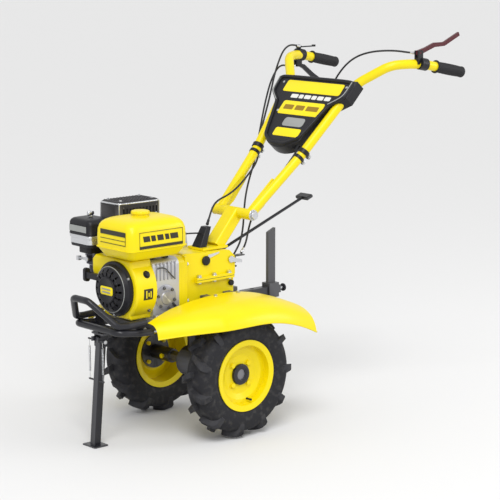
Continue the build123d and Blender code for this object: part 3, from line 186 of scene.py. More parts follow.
# ---------------------------------------------------------------- building pieces
def keep(obj, mat, body, stands_for=(), angle=35):
    """Gives a new piece its material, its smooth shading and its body."""
    if obj.type == "MESH":
        obj.data.materials.clear()
        obj.data.materials.append(mat)
        obj.data.shade_smooth()
        bpy.context.view_layer.objects.active = obj
        obj.select_set(True)
        bpy.ops.object.shade_smooth_by_angle(angle=radians(angle))
        obj.select_set(False)
    else:
        obj.data.materials.append(mat)
    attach(obj, body)
    if stands_for:
        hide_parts(*stands_for)
    return obj


def mesh_object(name, verts, faces):
    """A mesh object with outward faces."""
    data = bpy.data.meshes.new(name)
    data.from_pydata([tuple(v) for v in verts], [], faces)
    shape = bmesh.new()
    shape.from_mesh(data)
    bmesh.ops.recalc_face_normals(shape, faces=shape.faces)
    shape.to_mesh(data)
    shape.free()
    obj = bpy.data.objects.new(name, data)
    bpy.context.collection.objects.link(obj)
    return obj


def bevel(obj, width_mm, segments=3, angle=30):
    """Rounds a mesh's sharp edges."""
    mod = obj.modifiers.new("soft_edges", "BEVEL")
    mod.width = width_mm / 1000
    mod.segments = segments
    mod.limit_method = "ANGLE"
    mod.angle_limit = radians(angle)
    return obj


def rings_mesh(name, rings, caps=True):
    """A skin over a list of closed rings that all have the same number of points."""
    verts = [p for ring in rings for p in ring]
    n = len(rings[0])
    faces = []
    for i in range(len(rings) - 1):
        for j in range(n):
            k = (j + 1) % n
            faces.append((i * n + j, i * n + k, (i + 1) * n + k, (i + 1) * n + j))
    if caps:
        faces.append(tuple(range(n))[::-1])
        faces.append(tuple((len(rings) - 1) * n + j for j in range(n)))
    return mesh_object(name, verts, faces)


def frame_of(axis):
    """Two directions square to an axis."""
    axis = Vector(axis).normalized()
    side = axis.orthogonal().normalized()
    return axis, side, axis.cross(side)


def lathe(name, profile, start, axis, steps=64, open_ring=False):
    """Turns (radius mm, distance mm along the axis) points about an axis from a start point."""
    axis, u, v = frame_of(axis)
    rings = []
    for r, h in profile:
        centre = Vector(start) + axis * (h / 1000)
        rings.append([centre + (u * cos(2 * pi * k / steps) + v * sin(2 * pi * k / steps))
                      * (max(r, 0.02) / 1000) for k in range(steps)])
    if open_ring:
        rings.append(rings[0])
        obj = rings_mesh(name, rings, caps=False)
        weld(obj)
        return obj
    return rings_mesh(name, rings)


def weld(obj):
    """Joins vertices that lie together."""
    shape = bmesh.new()
    shape.from_mesh(obj.data)
    bmesh.ops.remove_doubles(shape, verts=shape.verts, dist=1e-6)
    bmesh.ops.recalc_face_normals(shape, faces=shape.faces)
    shape.to_mesh(obj.data)
    shape.free()


def slab(name, corners, normal, thick_mm, mat, body, round_mm=0.5, lift_mm=0.0):
    """A thin plate: corner points in order, raised along a normal."""
    up = Vector(normal).normalized()
    low = [Vector(c) + up * (lift_mm / 1000) for c in corners]
    high = [c + up * (thick_mm / 1000) for c in low]
    obj = rings_mesh(name, [low, high])
    if round_mm:
        bevel(obj, round_mm, 2)
    return keep(obj, mat, body)


def round_rect(w, h, r, steps=8):
    """Corner-rounded rectangle about 0,0 as (u, v) millimetres."""
    points = []
    for cx, cy, a0 in ((w / 2 - r, h / 2 - r, 0), (-w / 2 + r, h / 2 - r, 90),
                       (-w / 2 + r, -h / 2 + r, 180), (w / 2 - r, -h / 2 + r, 270)):
        for k in range(steps + 1):
            a = radians(a0 + 90 * k / steps)
            points.append((cx + r * cos(a), cy + r * sin(a)))
    return points


def hex_bolt(name, place, axis, across_mm, head_mm, body, mat, washer=True):
    """A hexagon head with a chamfered top, on a washer; the axis points out of the surface."""
    axis, u, v = frame_of(axis)
    rings = []
    r = across_mm / 2 / cos(radians(30))
    lift = 1.6 if washer else 0.0
    if washer:
        disc = lathe(name + "_washer", [(0, 0), (r * 1.22, 0), (r * 1.25, 0.5), (r * 1.2, 1.6),
                                        (0, 1.6)], place, axis, 28)
        keep(disc, mat, body)
    for rr, h in ((r, lift), (r, lift + head_mm * 0.8), (r * 0.86, lift + head_mm)):
        rings.append([Vector(place) + axis * (h / 1000)
                      + (u * cos(pi * k / 3) + v * sin(pi * k / 3)) * (rr / 1000)
                      for k in range(6)])
    obj = rings_mesh(name, rings)
    bevel(obj, 0.5, 2, 20)
    return keep(obj, mat, body)


def curve_tube(name, points, radius_mm, mat, body, closed=False):
    """A smooth tube along control points; without a body it stays a bare curve."""
    data = bpy.data.curves.new(name, "CURVE")
    data.dimensions = "3D"
    spline = data.splines.new("NURBS")
    spline.points.add(len(points) - 1)
    for p, q in zip(spline.points, points):
        p.co = (*q, 1)
    spline.order_u = 3
    spline.use_endpoint_u = not closed
    spline.use_cyclic_u = closed
    spline.resolution_u = 6
    data.bevel_depth = radius_mm / 1000
    data.bevel_resolution = 4
    data.use_fill_caps = True
    obj = bpy.data.objects.new(name, data)
    bpy.context.collection.objects.link(obj)
    return keep(obj, mat, body) if body else obj


def curve_mesh(name, curve, mat):
    """A mesh object made from a bare curve, which goes away."""
    data = bpy.data.meshes.new_from_object(curve)
    bpy.data.objects.remove(curve)
    obj = bpy.data.objects.new(name, data)
    bpy.context.collection.objects.link(obj)
    data.materials.clear()
    data.materials.append(mat)
    data.shade_smooth()
    return obj


def smooth_line(points, per):
    """Points on a Catmull-Rom line through the given (a, b) pairs."""
    line = []
    n = len(points)
    for i in range(n - 1):
        p0, p1, p2, p3 = (points[max(i - 1, 0)], points[i], points[i + 1],
                          points[min(i + 2, n - 1)])
        for k in range(per):
            t = k / per
            line.append(tuple(0.5 * (2 * b + (c - a) * t + (2 * a - 5 * b + 4 * c - d) * t * t
                                     + (3 * b - a - 3 * c + d) * t ** 3)
                              for a, b, c, d in zip(p0, p1, p2, p3)))
    line.append(points[-1])
    return line


# ---------------------------------------------------------------- tyres
LUGS = 11       # on each hand of a tyre


def make_tyre(node, side):
    """A rounded carcass with sidewall rings and slanted lugs that wrap the shoulders."""
    outer = smooth_line([(104, -38), (110, -40.5), (117, -41), (126, -44.5), (140, -48),
                         (160, -48.4), (176, -44), (185, -32), (188, -16), (188.5, 0),
                         (188, 16), (185, 32), (176, 44), (160, 48.4), (140, 48),
                         (126, 44.5), (117, 41), (110, 40.5), (104, 38)], 3)
    ribs = []
    for r, y in outer:
        swell = 0.9 if abs(r - 150) < 2.2 or abs(r - 130) < 2.0 else 0.0
        ribs.append((r, y + (swell if y > 0 else -swell)))
    inner = [(104, 30), (119, 31), (138, 38), (158, 38.5), (168, 34), (177, 22), (177, -22),
             (168, -34), (158, -38.5), (138, -38), (119, -31), (104, -30)]
    start = at(0, side * WHEEL_Y, WHEEL_Z)
    body = lathe("casing_" + node, ribs + inner, start, (0, side, 0), 120, open_ring=True)
    verts, faces = [], []
    stations = [(-4, 205, 12.5), (8, 205, 12.5), (20, 204.6, 12.8), (32, 203, 13.2),
                (42, 199, 13.8), (48, 190, 14), (49.8, 176, 13), (49.9, 160, 11)]
    for hand in (1, -1):
        for lug in range(LUGS):
            turn = 2 * pi * (lug + (0 if hand > 0 else 0.5)) / LUGS
            base = len(verts)
            for y, top, wide in stations:
                sweep = 30 * max(0, y) / 50
                floor_r = 183 if y < 30 else (172 if y < 45 else 154)
                for r, half in ((floor_r, wide * 1.12), (top, wide * 0.74),
                                (top, -wide * 0.74), (floor_r, -wide * 1.12)):
                    a = turn + (sweep + half) / 200
                    yy = hand * min(y, 46 if r == floor_r and y > 46 else y)
                    verts.append(at(r * sin(a), side * WHEEL_Y + side * yy,
                                    WHEEL_Z + r * cos(a)))
            for i in range(len(stations) - 1):
                for j in range(4):
                    k = (j + 1) % 4
                    faces.append((base + i * 4 + j, base + i * 4 + k,
                                  base + i * 4 + 4 + k, base + i * 4 + 4 + j))
            last = base + 4 * (len(stations) - 1)
            faces.append((base, base + 1, base + 2, base + 3))
            faces.append((last, last + 1, last + 2, last + 3))
    lugs = mesh_object("lugs_" + node, verts, faces)
    bevel(lugs, 2.2, 3, 28)
    keep(body, MATS["tyre_rubber"], "wheels", stands_for=[node], angle=60)
    keep(lugs, MATS["tyre_rubber"], "wheels", angle=30)
    stem = lathe("valve_" + node, [(0, 0), (4.2, 0), (3.2, 6), (2.8, 16), (3.6, 17), (3.6, 24),
                                   (0, 25)], at(-22, side * 228, WHEEL_Z - 83), (0, side, 0), 20)
    keep(stem, MATS["black_plastic"], "wheels")


make_tyre("tyre_left", 1)
make_tyre("tyre_right", -1)


# ---------------------------------------------------------------- fenders
def fender_ring(x, side, push=0.0):
    """The skin of a fender across the machine at one place along it."""
    inner = 112 + max(0, (x - 200) * 0.17)
    if x > 110:
        outer = 292 - (x - 110) * 0.56
    else:
        outer = 292 + 8 * sin(radians(90 * min(1, (110 - x) / 120)))
    if x < -160:
        outer -= (-160 - x) * 0.06
    if x > -20:
        top = 452 - 0.00046 * (x + 20) ** 2
        lip = 379 - 0.00020 * (x + 20) ** 2
    else:
        top = 452 - 0.00085 * (x + 20) ** 2
        lip = 379 - 0.00100 * (x + 20) ** 2
    rise = top - lip
    shape = smooth_line([(0, 1.0), (0.35, 0.975), (0.62, 0.88), (0.84, 0.64), (0.95, 0.33),
                         (1.0, 0.0)], 5)
    ring = []
    for k, (u, v) in enumerate(shape):
        swell = 1.6 * max(0.0, 1 - abs(u - 0.16) / 0.05)
        y = inner + (outer - inner) * u
        z = lip + rise * v + swell
        t = k / (len(shape) - 1)
        ring.append(at(x, side * (y - push * t), z - push * (1 - 0.55 * t)))
    return ring


for side, word in ((1, "left"), (-1, "right")):
    spots = [304 - 579 * k / 48 for k in range(49)]
    over = [fender_ring(x, side) for x in spots]
    under = [fender_ring(x, side, 2.2) for x in spots]
    loops = [a + b[::-1] for a, b in zip(over, under)]
    wing = rings_mesh("wing_" + word, loops)
    bevel(wing, 0.8, 2, 50)
    keep(wing, MATS["yellow_paint"], "frame", stands_for=["fenders"] if side > 0 else (),
         angle=40)
    lip_line = [p[-1] + Vector((0, -side * 0.0012, 0.0006)) for p in over]
    curve_tube("lip_" + word, lip_line[::3] + [lip_line[-1]], 2.6, MATS["yellow_paint"], "frame")
    for k, x in enumerate((-75, 22)):
        hex_bolt("wing_bolt_" + word + "_" + str(k), at(x, side * 128, 450.5), (0, 0, 1), 10, 4,
                 "frame", MATS["steel"])


# ---------------------------------------------------------------- fuel tank
def tank_ring(z, shrink, corner):
    """Plan of the tank at one height."""
    w, h = 238 - 2 * shrink, 188 - 2 * shrink
    return [at(249 + u, 34 + v, z) for u, v in round_rect(w, h, corner, 9)]


levels = [(601, 30, 20), (601.6, 24, 22), (604, 19.5, 24), (612, 13.5, 26), (623, 6.5, 28),
          (629.6, 2.6, 28), (631.6, 1.4, 28), (632, -1.4, 29), (632.6, -2.2, 29),
          (634.8, -2.2, 29), (635.4, -1.4, 29), (636, 1.0, 28), (646, 0.6, 28), (668, 0.4, 28),
          (690, 1.8, 28), (704, 5, 30), (712, 9.5, 32), (718, 15.5, 35), (722.4, 24, 38),
          (725.4, 35, 40), (727.4, 50, 36), (728.4, 72, 20)]
tank = rings_mesh("tank_shell", [tank_ring(*level) for level in levels])
keep(tank, MATS["yellow_paint"], "frame", stands_for=["fuel_tank"], angle=50)
neck = lathe("tank_neck", [(22, -3), (27, -3), (27.6, 0), (26.4, 4.6), (23, 5), (22, 4.4)],
             at(CAP_X, CAP_Y, 728), (0, 0, 1), 48, open_ring=True)
keep(neck, MATS["yellow_paint"], "frame")
for x in (168, 228):
    for y in (-18, 50):
        foot = rings_mesh("tank_foot_%d_%d" % (x, y + 20), [
            [at(x + u, y + v, z) for u, v in round_rect(w, w, 3, 3)]
            for z, w in ((586.2, 18), (594, 16), (602.5, 20))])
        keep(foot, MATS["black_plastic"], "frame")
profile = [(0, 0), (29, 0), (30, 1), (30, 6), (28.5, 9), (24, 10.6), (10, 11.6), (0, 12)]
cap_rings = []
for r, h in profile:
    ring = []
    for k in range(96):
        rr = r - (1.2 if 1 <= h <= 6 and k % 6 < 2 and r > 20 else 0)
        a = 2 * pi * k / 96
        ring.append(at(CAP_X, CAP_Y, 733.4 + h)
                    + Vector((cos(a), sin(a), 0)) * max(rr, 0.05) / 1000)
    cap_rings.append(ring)
keep(rings_mesh("fuel_cap", cap_rings), MATS["yellow_paint"], "cap", stands_for=["tank_cap"],
     angle=30)


def face_bar(name, plane, a0, a1, b0, b1, mat, thick=0.5, lean=0.0):
    """A thin bar on a flat face. plane gives (origin, across, up, normal) in millimetres."""
    origin, across, up, normal = plane
    spots = [(a0 + lean * b0, b0), (a1 + lean * b0, b0), (a1 + lean * b1, b1),
             (a0 + lean * b1, b1)]
    corners = []
    for a, b in spots:
        x, y, z = [origin[k] + across[k] * a + up[k] * b for k in range(3)]
        corners.append(at(x, y, z))
    return slab(name, corners, normal, thick, mat, "frame", 0.2, lift_mm=0.15)


def framed_plate(name, plane, a0, a1, b0, b1):
    """A plain badge: a dark border round a yellow field with a few generic dark bars."""
    w = 1.6
    face_bar(name + "_bottom", plane, a0, a1, b0, b0 + w, DECAL_DARK)
    face_bar(name + "_top", plane, a0, a1, b1 - w, b1, DECAL_DARK)
    face_bar(name + "_end_a", plane, a0, a0 + w, b0 + w, b1 - w, DECAL_DARK)
    face_bar(name + "_end_b", plane, a1 - w, a1, b0 + w, b1 - w, DECAL_DARK)
    span = a1 - a0
    middle = (b0 + b1) / 2
    bars = ((0.10, 0.28), (0.31, 0.40), (0.44, 0.58), (0.62, 0.72), (0.75, 0.90))
    for k, (s, e) in enumerate(bars):
        face_bar(name + "_bar_%d" % k, plane, a0 + span * s, a0 + span * e, middle - 5,
                 middle + 13, DECAL_DARK, lean=0.2)


LEFT_FACE = ((243, 127.7, 660), (1, 0, 0), (0, -0.01, 1), (0, 1, 0))
FRONT_FACE = ((367.7, 36, 668), (0, 1, 0), (-0.02, 0, 1), (1, 0, 0))
framed_plate("tank_plate_left", LEFT_FACE, -86, 88, -21, 32)
face_bar("tank_stripe_left", LEFT_FACE, -86, 88, -21, -12, DECAL_DARK, thick=0.8)
face_bar("tank_stripe_front", FRONT_FACE, -60, 66, 10, 25, DECAL_DARK, thick=0.8)
face_bar("tank_line_front_top", FRONT_FACE, -60, 68, -4, -2, DECAL_DARK)
face_bar("tank_line_front_low", FRONT_FACE, -60, 68, -18, -16, DECAL_DARK)
face_bar("tank_line_front_end", FRONT_FACE, 66, 68, -16, 24, DECAL_DARK)


# ---------------------------------------------------------------- fan shroud and recoil starter
badge = lathe("recoil_cap", [(0, 0), (42, 0), (43.4, 1), (42.6, 3.2), (39, 4.2), (38, 3.6),
                             (0, 3.6)], at(364, 0, CRANK_Z), (1, 0, 0), 72)
keep(badge, MATS["black_plastic"], "frame")
plate = rings_mesh("recoil_badge", [[at(367.5 + h, 4 + u * s, 496 + v * s)
                                     for u, v in round_rect(62, 27, 7, 6)]
                                    for h, s in ((0, 1), (1, 1), (1.4, 0.97))])
keep(plate, DECAL_YELLOW, "frame")
for k, (y0, y1, z) in enumerate(((-20, 26, 5), (-18, 24, -5))):
    slab("badge_bar_%d" % k, [at(369, y0, 496 + z - 2.4), at(369, y1, 496 + z - 2.4),
                              at(369, y1, 496 + z + 2.4), at(369, y0, 496 + z + 2.4)],
         (1, 0, 0), 0.4, GREY_PRINT_AND_HIGHLIGHT, "frame", 0.2)
# three raised rings on the black recoil housing; the middle one is grey, a painted highlight where
# the housing's curve catches the light
for k, (r, x) in enumerate(((86.5, 333.2), (73, 350.6), (57, 363.2))):
    ring = lathe("recoil_ring_%d" % k, [(r - 1.4, 0), (r - 0.7, 1.4), (r + 0.7, 1.4), (r + 1.4, 0),
                                        (r, -1)], at(x, 0, CRANK_Z), (1, 0, 0), 96, open_ring=True)
    keep(ring, MATS["black_plastic"] if k != 1 else GREY_PRINT_AND_HIGHLIGHT, "frame")
for k in range(3):
    a = radians(30 + 120 * k)
    hex_bolt("recoil_bolt_%d" % k, at(333, 84 * cos(a) * 0.99, CRANK_Z + 84 * sin(a) * 0.99),
             (1, 0, 0), 8, 4, "frame", MATS["steel"])

# black stop button on the shroud's shoulder and a plain square label under it
lean = radians(29.5)
out = Vector((0, cos(lean), sin(lean)))
button = lathe("switch_button", [(0, 0), (9, 0), (9, 3.4), (8, 5.8), (0, 6.8)],
               at(277, 0, CRANK_Z) + out * 0.1072, out, 40)
keep(button, MATS["black_plastic"], "switch", stands_for=["engine_switch"])
collar = lathe("switch_collar", [(9.6, -1.4), (12.4, -1.4), (12.4, 1.2), (10.8, 2), (9.6, 1.6)],
               at(277, 0, CRANK_Z) + out * 0.1062, out, 40, open_ring=True)
keep(collar, MATS["black_plastic"], "frame")
label = []
for k in range(9):
    a = radians(-14.5 + 19 * k / 8)
    label.append([at(x, r * cos(a), CRANK_Z + r * sin(a))
                  for x, r in ((262, SHROUD_R), (298, SHROUD_R), (298, 106.8), (262, 106.8))])
keep(rings_mesh("shroud_label", label), DECAL_DARK, "frame")
for k, (x, z0, z1) in enumerate(((271, 477, 497), (279, 481, 493), (288, 476, 500))):
    slab("label_mark_%d" % k, [at(x - 2, 106.9, z0), at(x + 2, 106.9, z0), at(x + 2, 106.9, z1),
                               at(x - 2, 106.9, z1)],
         (0, 1, 0), 0.4, DECAL_YELLOW, "frame", 0.2)
for k, (x, turn) in enumerate(((262, 60), (262, -38))):
    a = radians(turn)
    hex_bolt("shroud_bolt_%d" % k, at(x, SHROUD_R * cos(a), CRANK_Z + SHROUD_R * sin(a)),
             (0, cos(a), sin(a)), 8, 4, "frame", MATS["dark_steel"])

# crankcase ribs, side cover and the governor's arm between the shroud and the bell
for side in (1, -1):
    for k in range(6):
        x = 152 + 15 * k
        slab("case_fin_%d_%d" % (side + 1, k), [at(x, side * 84, 520), at(x + 4, side * 84, 520),
                                               at(x + 4, side * 84, 578),
                                               at(x, side * 84, 578)],
             (0, side, 0), 3.2, MATS["cast_alloy"], "frame", 1.0, lift_mm=-0.4)
    cover = lathe("case_cover_%d" % (side + 1), [(0, 0), (40, 0), (41, 1), (41, 3.6), (38, 5),
                                                 (22, 5.4), (20, 8), (0, 8.4)],
                  at(194, side * 83.8, 462), (0, side, 0), 56)
    keep(cover, MATS["cast_alloy"], "frame")
    for k in range(6):
        a = radians(60 * k + 15)
        hex_bolt("case_cover_bolt_%d_%d" % (side + 1, k),
                 at(194 + 34 * cos(a), side * 88.4, 462 + 34 * sin(a)), (0, side, 0), 8, 4,
                 "frame", MATS["dark_steel"])
curve_tube("governor_rod", [at(*p) for p in ((228, 88, 560), (205, 92, 566), (180, 90, 540),
                                             (158, 90, 520))], 2.0, MATS["dark_steel"], "frame")
slab("governor_arm", [at(150, 86, 430), at(160, 86, 428), at(186, 86, 452), at(180, 86, 458)],
     (0, 1, 0), 3.0, MATS["black_paint"], "frame", 0.5)

# ---------------------------------------------------------------- air cleaner
AIR_X, AIR_Y = 302, -163       # the middle of the air cleaner


def level_ring(w, h, corner, z):
    """A level rounded rectangle round the air cleaner's middle."""
    return [at(AIR_X + u, AIR_Y + v, z) for u, v in round_rect(w, h, corner)]


cover = rings_mesh("air_box_cover", [level_ring(*s) for s in (
    (97, 115, 17, 651.5), (100, 118, 18, 652.5), (100, 118, 18, 657), (98.4, 116.4, 17.5, 658.5),
    (98.4, 116.4, 17.5, 684), (97, 115, 17, 691), (92, 110, 17, 697), (82, 100, 16, 701.6),
    (70, 88, 15, 703.2), (40, 50, 12, 703.9))])
keep(cover, MATS["black_plastic"], "frame", stands_for=["air_cleaner"], angle=40)
band = rings_mesh("air_box_band", [level_ring(*s) for s in (
    (90, 108, 16, 622), (94, 112, 17, 623), (94.6, 112.6, 17, 640), (98.6, 116.6, 18, 642),
    (99.4, 117.4, 18, 650), (97, 115, 17, 651.6))])
keep(band, SILVER, "frame", angle=40)
lower = rings_mesh("air_box_base", [level_ring(*s) for s in (
    (58, 56, 12, 590.2), (62, 60, 14, 592), (62, 60, 14, 611), (84, 102, 15, 612),
    (90, 108, 16, 613.5), (92, 110, 16, 621.6), (88, 106, 15, 622.6))])
keep(lower, MATS["black_plastic"], "frame", angle=40)
for k in range(6):
    y = AIR_Y - 40 + 16 * k
    slab("air_box_rib_%d" % k, [at(352.4, y - 2, 660), at(352.4, y + 2, 660),
                                at(352.4, y + 2, 686), at(352.4, y - 2, 686)],
         (1, 0, 0), 1.2, MATS["black_plastic"], "frame", 0.4, lift_mm=-1.2)
slab("air_box_label", [at(352.6, AIR_Y - 46, 662), at(352.6, AIR_Y + 44, 662),
                       at(352.6, AIR_Y + 44, 682), at(352.6, AIR_Y - 46, 682)],
     (1, 0, 0), 0.5, GREY_PRINT_AND_HIGHLIGHT, "frame", 0.2, lift_mm=0.2)
knob_rings = []
for r, h in ((5, 0), (7, 1), (7, 5), (12, 7), (14.4, 9), (14.4, 16), (12, 19), (4, 19.8)):
    ring = []
    for k in range(60):
        a = 2 * pi * k / 60
        rr = r * (1 - 0.16 * (0.5 + 0.5 * cos(3 * a))) if r > 10 else r
        way = Vector((cos(a), 0.52 * sin(a) if r > 10 else sin(a), 0))
        ring.append(at(AIR_X, AIR_Y, 704.2 + h) + way * rr / 1000)
    knob_rings.append(ring)
keep(rings_mesh("air_box_wingnut", knob_rings), MATS["steel"], "frame",
     stands_for=["air_cleaner_knob"])

# ---------------------------------------------------------------- carburettor, plug lead, exhaust
for name, place, axis, profile in (
        ("bowl_nut", (290, -157, 513.5), (0, 0, -1),
         [(0, 0), (6.6, 0), (6.6, 5), (5, 6.4), (0, 6.6)]),
        ("idle_screw", (300, -180.2, 578), (0, -1, 0),
         [(0, 0), (3.4, 0), (3.4, 8), (4.4, 8.4), (4.4, 12), (0, 12.4)]),
        ("bowl_bead", (290, -157, 549), (0, 0, 1),
         [(19, 0), (21, 0.4), (21.6, 1.4), (21, 2.6), (19, 3)])):
    keep(lathe(name, profile, at(*place), axis, 32), MATS["cast_alloy"], "frame")
curve_tube("fuel_hose", [at(*p) for p in ((262, -40, 622), (272, -52, 612), (284, -76, 596),
                                          (296, -102, 578), (300, -122, 566), (300, -136, 560))],
           3.4, MATS["cable_black"], "frame")
curve_tube("plug_lead", [at(*p) for p in ((248, -108, 560), (252, -124, 566), (258, -142, 560),
                                          (263, -152, 544), (263, -152, 530))],
           3.6, MATS["cable_black"], "frame")
lean = radians(25)
head = Vector((0, -cos(lean), sin(lean)))
up = Vector((0, sin(lean), cos(lean)))
for k, (u, v) in enumerate(((-34, -30), (34, -30), (-34, 30), (34, 30))):
    spot = (at(192, 0, CRANK_Z) + head * 0.1723 + Vector((u / 1000, 0, 0))
            + up * (v / 1000 * 1.3))
    hex_bolt("rocker_bolt_%d" % k, spot, head, 8, 4, "frame", MATS["steel"])
for k, (x, y) in enumerate(((92, -176), (220, -176), (92, -110), (220, -110))):
    hex_bolt("guard_bolt_%d" % k, at(x, y, 752.1), (0, 0, 1), 8, 3, "frame", MATS["steel"])
trim = rings_mesh("guard_trim", [
    [at(GUARD_X + u, GUARD_Y + v, z) for u, v in round_rect(w, h, 22, 8)]
    for z, w, h in ((668, 176.6, 110.6), (668.2, 177.6, 111.6), (671.6, 177.6, 111.6),
                    (671.8, 176.6, 110.6))], caps=False)
solid = trim.modifiers.new("sheet", "SOLIDIFY")
solid.thickness = 0.0012
keep(trim, MATS["steel"], "frame")
rim = [at(GUARD_X + u, GUARD_Y + v, 746) for u, v in round_rect(173, 107, 22, 6)]
curve_tube("guard_rim", rim, 3.0, SILVER, "frame", closed=True)
for k, (u, v) in enumerate(((82, 49), (-82, 49), (82, -49), (-82, -49))):
    curve_tube("guard_post_%d" % k,
               [at(GUARD_X + u, GUARD_Y + v, z) for z in (672, 700, 724, 744)], 2.4, SILVER,
               "frame")
for k in range(12):
    x = 84 + 13 * k
    slab("guard_slat_%02d" % k, [at(x, -186, 751.8), at(x + 3, -186, 751.8),
                                 at(x + 3, -100, 751.8), at(x, -100, 751.8)],
         (0, 0, 1), 1.4, MATS["hot_steel"], "frame", 0.3)
pipe = lathe("tail_pipe_lip", [(9.2, 0), (11.6, 0), (12.4, 1), (11.6, 2.4), (9.2, 2.4)],
             at(58.2, -150, 690), (-1, 0, 0), 40, open_ring=True)
keep(pipe, MATS["hot_steel"], "frame")

# ---------------------------------------------------------------- bolts over the CAD's plain heads
BOLTS = []
for x in (-88, -24, 40):
    for side in (1, -1):
        BOLTS.append(((x, side * 69, 505.1), (0, 0, 1), 13.4, 6.2))
        BOLTS.append(((x, side * 69, 489), (0, 0, -1), 13, 5.5))
for side in (1, -1):
    for rise in (-60, 60):
        BOLTS.append(((97.9, side * 69.5, CRANK_Z + rise), (-1, 0, 0), 13.4, 6.2))
    for x in (162, 237):
        BOLTS.append(((x, side * 90, 403.1), (0, 0, 1), 12.4, 7.0))
        BOLTS.append(((x, side * 90, 366.9), (0, 0, -1), 16.4, 7.2))
    BOLTS.append(((-172, side * 94.1, 690), (0, side, 0), 26.4, 9.0))
    BOLTS.append(((300, side * 108.1, 378), (0, side, 0), 13, 5))
    BOLTS.append(((390, side * 20.1, 336), (0, side, 0), 13, 5))
for k, (place, axis, across, height) in enumerate(BOLTS):
    hex_bolt("bolt_%02d" % k, at(*place), axis, across, height, "frame", MATS["steel"],
             washer=height > 5.6)
for side in (1, -1):
    for k in range(4):
        a = radians(45 + 90 * k)
        hex_bolt("hub_bolt_%d_%d" % (side + 1, k),
                 at(46 * cos(a), side * 222.05, WHEEL_Z + 46 * sin(a)), (0, side, 0), 15.4, 5.6,
                 "wheels", MATS["yellow_paint"])
    hub = lathe("hub_cap_%d" % (side + 1), [(17.5, 0), (31, 0), (32.5, 1), (32.5, 2.6), (30, 3.6),
                                            (19.5, 3.6), (18.6, 3)],
                at(0, side * 229.05, WHEEL_Z), (0, side, 0), 64, open_ring=True)
    keep(hub, MATS["black_paint"], "wheels")
    for k in range(24):
        a = 2 * pi * k / 24
        dot = lathe("rim_bead_%d_%02d" % (side + 1, k),
                    [(0, -1), (2.4, -0.6), (2.2, 0.8), (0, 1.2)],
                    at(90 * sin(a), side * 230.2, WHEEL_Z + 90 * cos(a)), (0, side, 0), 12)
        keep(dot, MATS["yellow_paint"], "wheels")
knob = lathe("hitch_knob", [(4, 0), (9, 0), (13, 2), (13.6, 5), (12.6, 8), (6, 9.4), (0, 9.6)],
             at(-389, 0, 405), (-1, 0, 0), 40)
keep(knob, MATS["black_plastic"], "frame")

# ---------------------------------------------------------------- gearbox dressing
for side in (1, -1):
    seam = [at(-104, side * 78.05, 496.4), at(56, side * 78.05, 496.4),
            at(56, side * 78.05, 497.6), at(-104, side * 78.05, 497.6)]
    slab("case_gasket_%d" % (side + 1), seam, (0, side, 0), 0.3, MATS["black_plastic"], "frame",
         0, lift_mm=-0.1)
knob = lathe("filler_knob", [(0, 0), (15, 0), (15.6, 1.5), (15.6, 6), (14, 8), (8, 9), (0, 9.4)],
             at(8, 62, 556), (0, 1, 0), 40)
keep(knob, MATS["black_plastic"], "frame")
slab("case_strip", [at(0, 62, 560), at(-48, 62, 573), at(-52, 62, 579), at(-4, 62, 574)],
     (0, 1, 0), 2.2, SILVER, "frame", 0.5)
knob = lathe("level_plug", [(0, 0), (9, 0), (9.6, 1.4), (9.6, 8), (8, 10), (0, 10.4)],
             at(-99, 62, 470), (0, 1, 0), 32)
keep(knob, MATS["black_plastic"], "frame")
slab("cable_post", [at(20, -14, 591), at(36, -14, 591), at(34, -14, 644), at(24, -14, 644)],
     (0, -1, 0), 3, MATS["steel"], "frame", 0.5)
curve_tube("post_rod", [at(34, -12, 638), at(8, -10, 637), at(-18, -7, 635), at(-34, -4, 634)],
           2.6, MATS["black_paint"], "frame")
curve_tube("drain_rail", [at(*p) for p in ((-40, 62, 430), (-40, 67, 430), (-38, 68.5, 430),
                                           (0, 69, 430), (2, 67, 430), (2, 62, 430))],
           2.2, MATS["steel"], "frame")

# ---------------------------------------------------------------- handlebar dressing
RUN = [(-180, 77, 696), (-376, 113, 878), (-575, 158, 1100), (-650, 250, 1166),
       (-735, 300, 1172), (-935, 309, 1133)]


def clamp_ring(name, a, b, share, r_in, r_out, half, mat, side):
    """A ring clamp round a straight stretch of the handlebar."""
    start = at(a[0], side * a[1], a[2])
    end = at(b[0], side * b[1], b[2])
    way = (end - start).normalized()
    middle = start.lerp(end, share)
    ring = lathe(name, [(r_in, -half), (r_out - 1, -half), (r_out, -half + 1), (r_out, half - 1),
                        (r_out - 1, half), (r_in, half)], middle, way, 40, open_ring=True)
    keep(ring, mat, "handlebar")
    side_way = way.cross(Vector((0, 0, 1))).normalized()
    lug = way.cross(side_way).normalized()
    if lug.z > 0:
        lug = -lug
    c = middle + lug * ((r_out + 4) / 1000)
    ear = rings_mesh(name + "_ear", [
        [c + way * (u / 1000) + lug * (v / 1000) + side_way * (w / 1000)
         for u, v in round_rect(2 * half - 3, 13, 3, 4)] for w in (-7, 7)])
    bevel(ear, 1, 2)
    keep(ear, mat, "handlebar")
    hex_bolt(name + "_bolt", c + side_way * 0.0071, side_way, 8, 4, "handlebar", MATS["steel"])


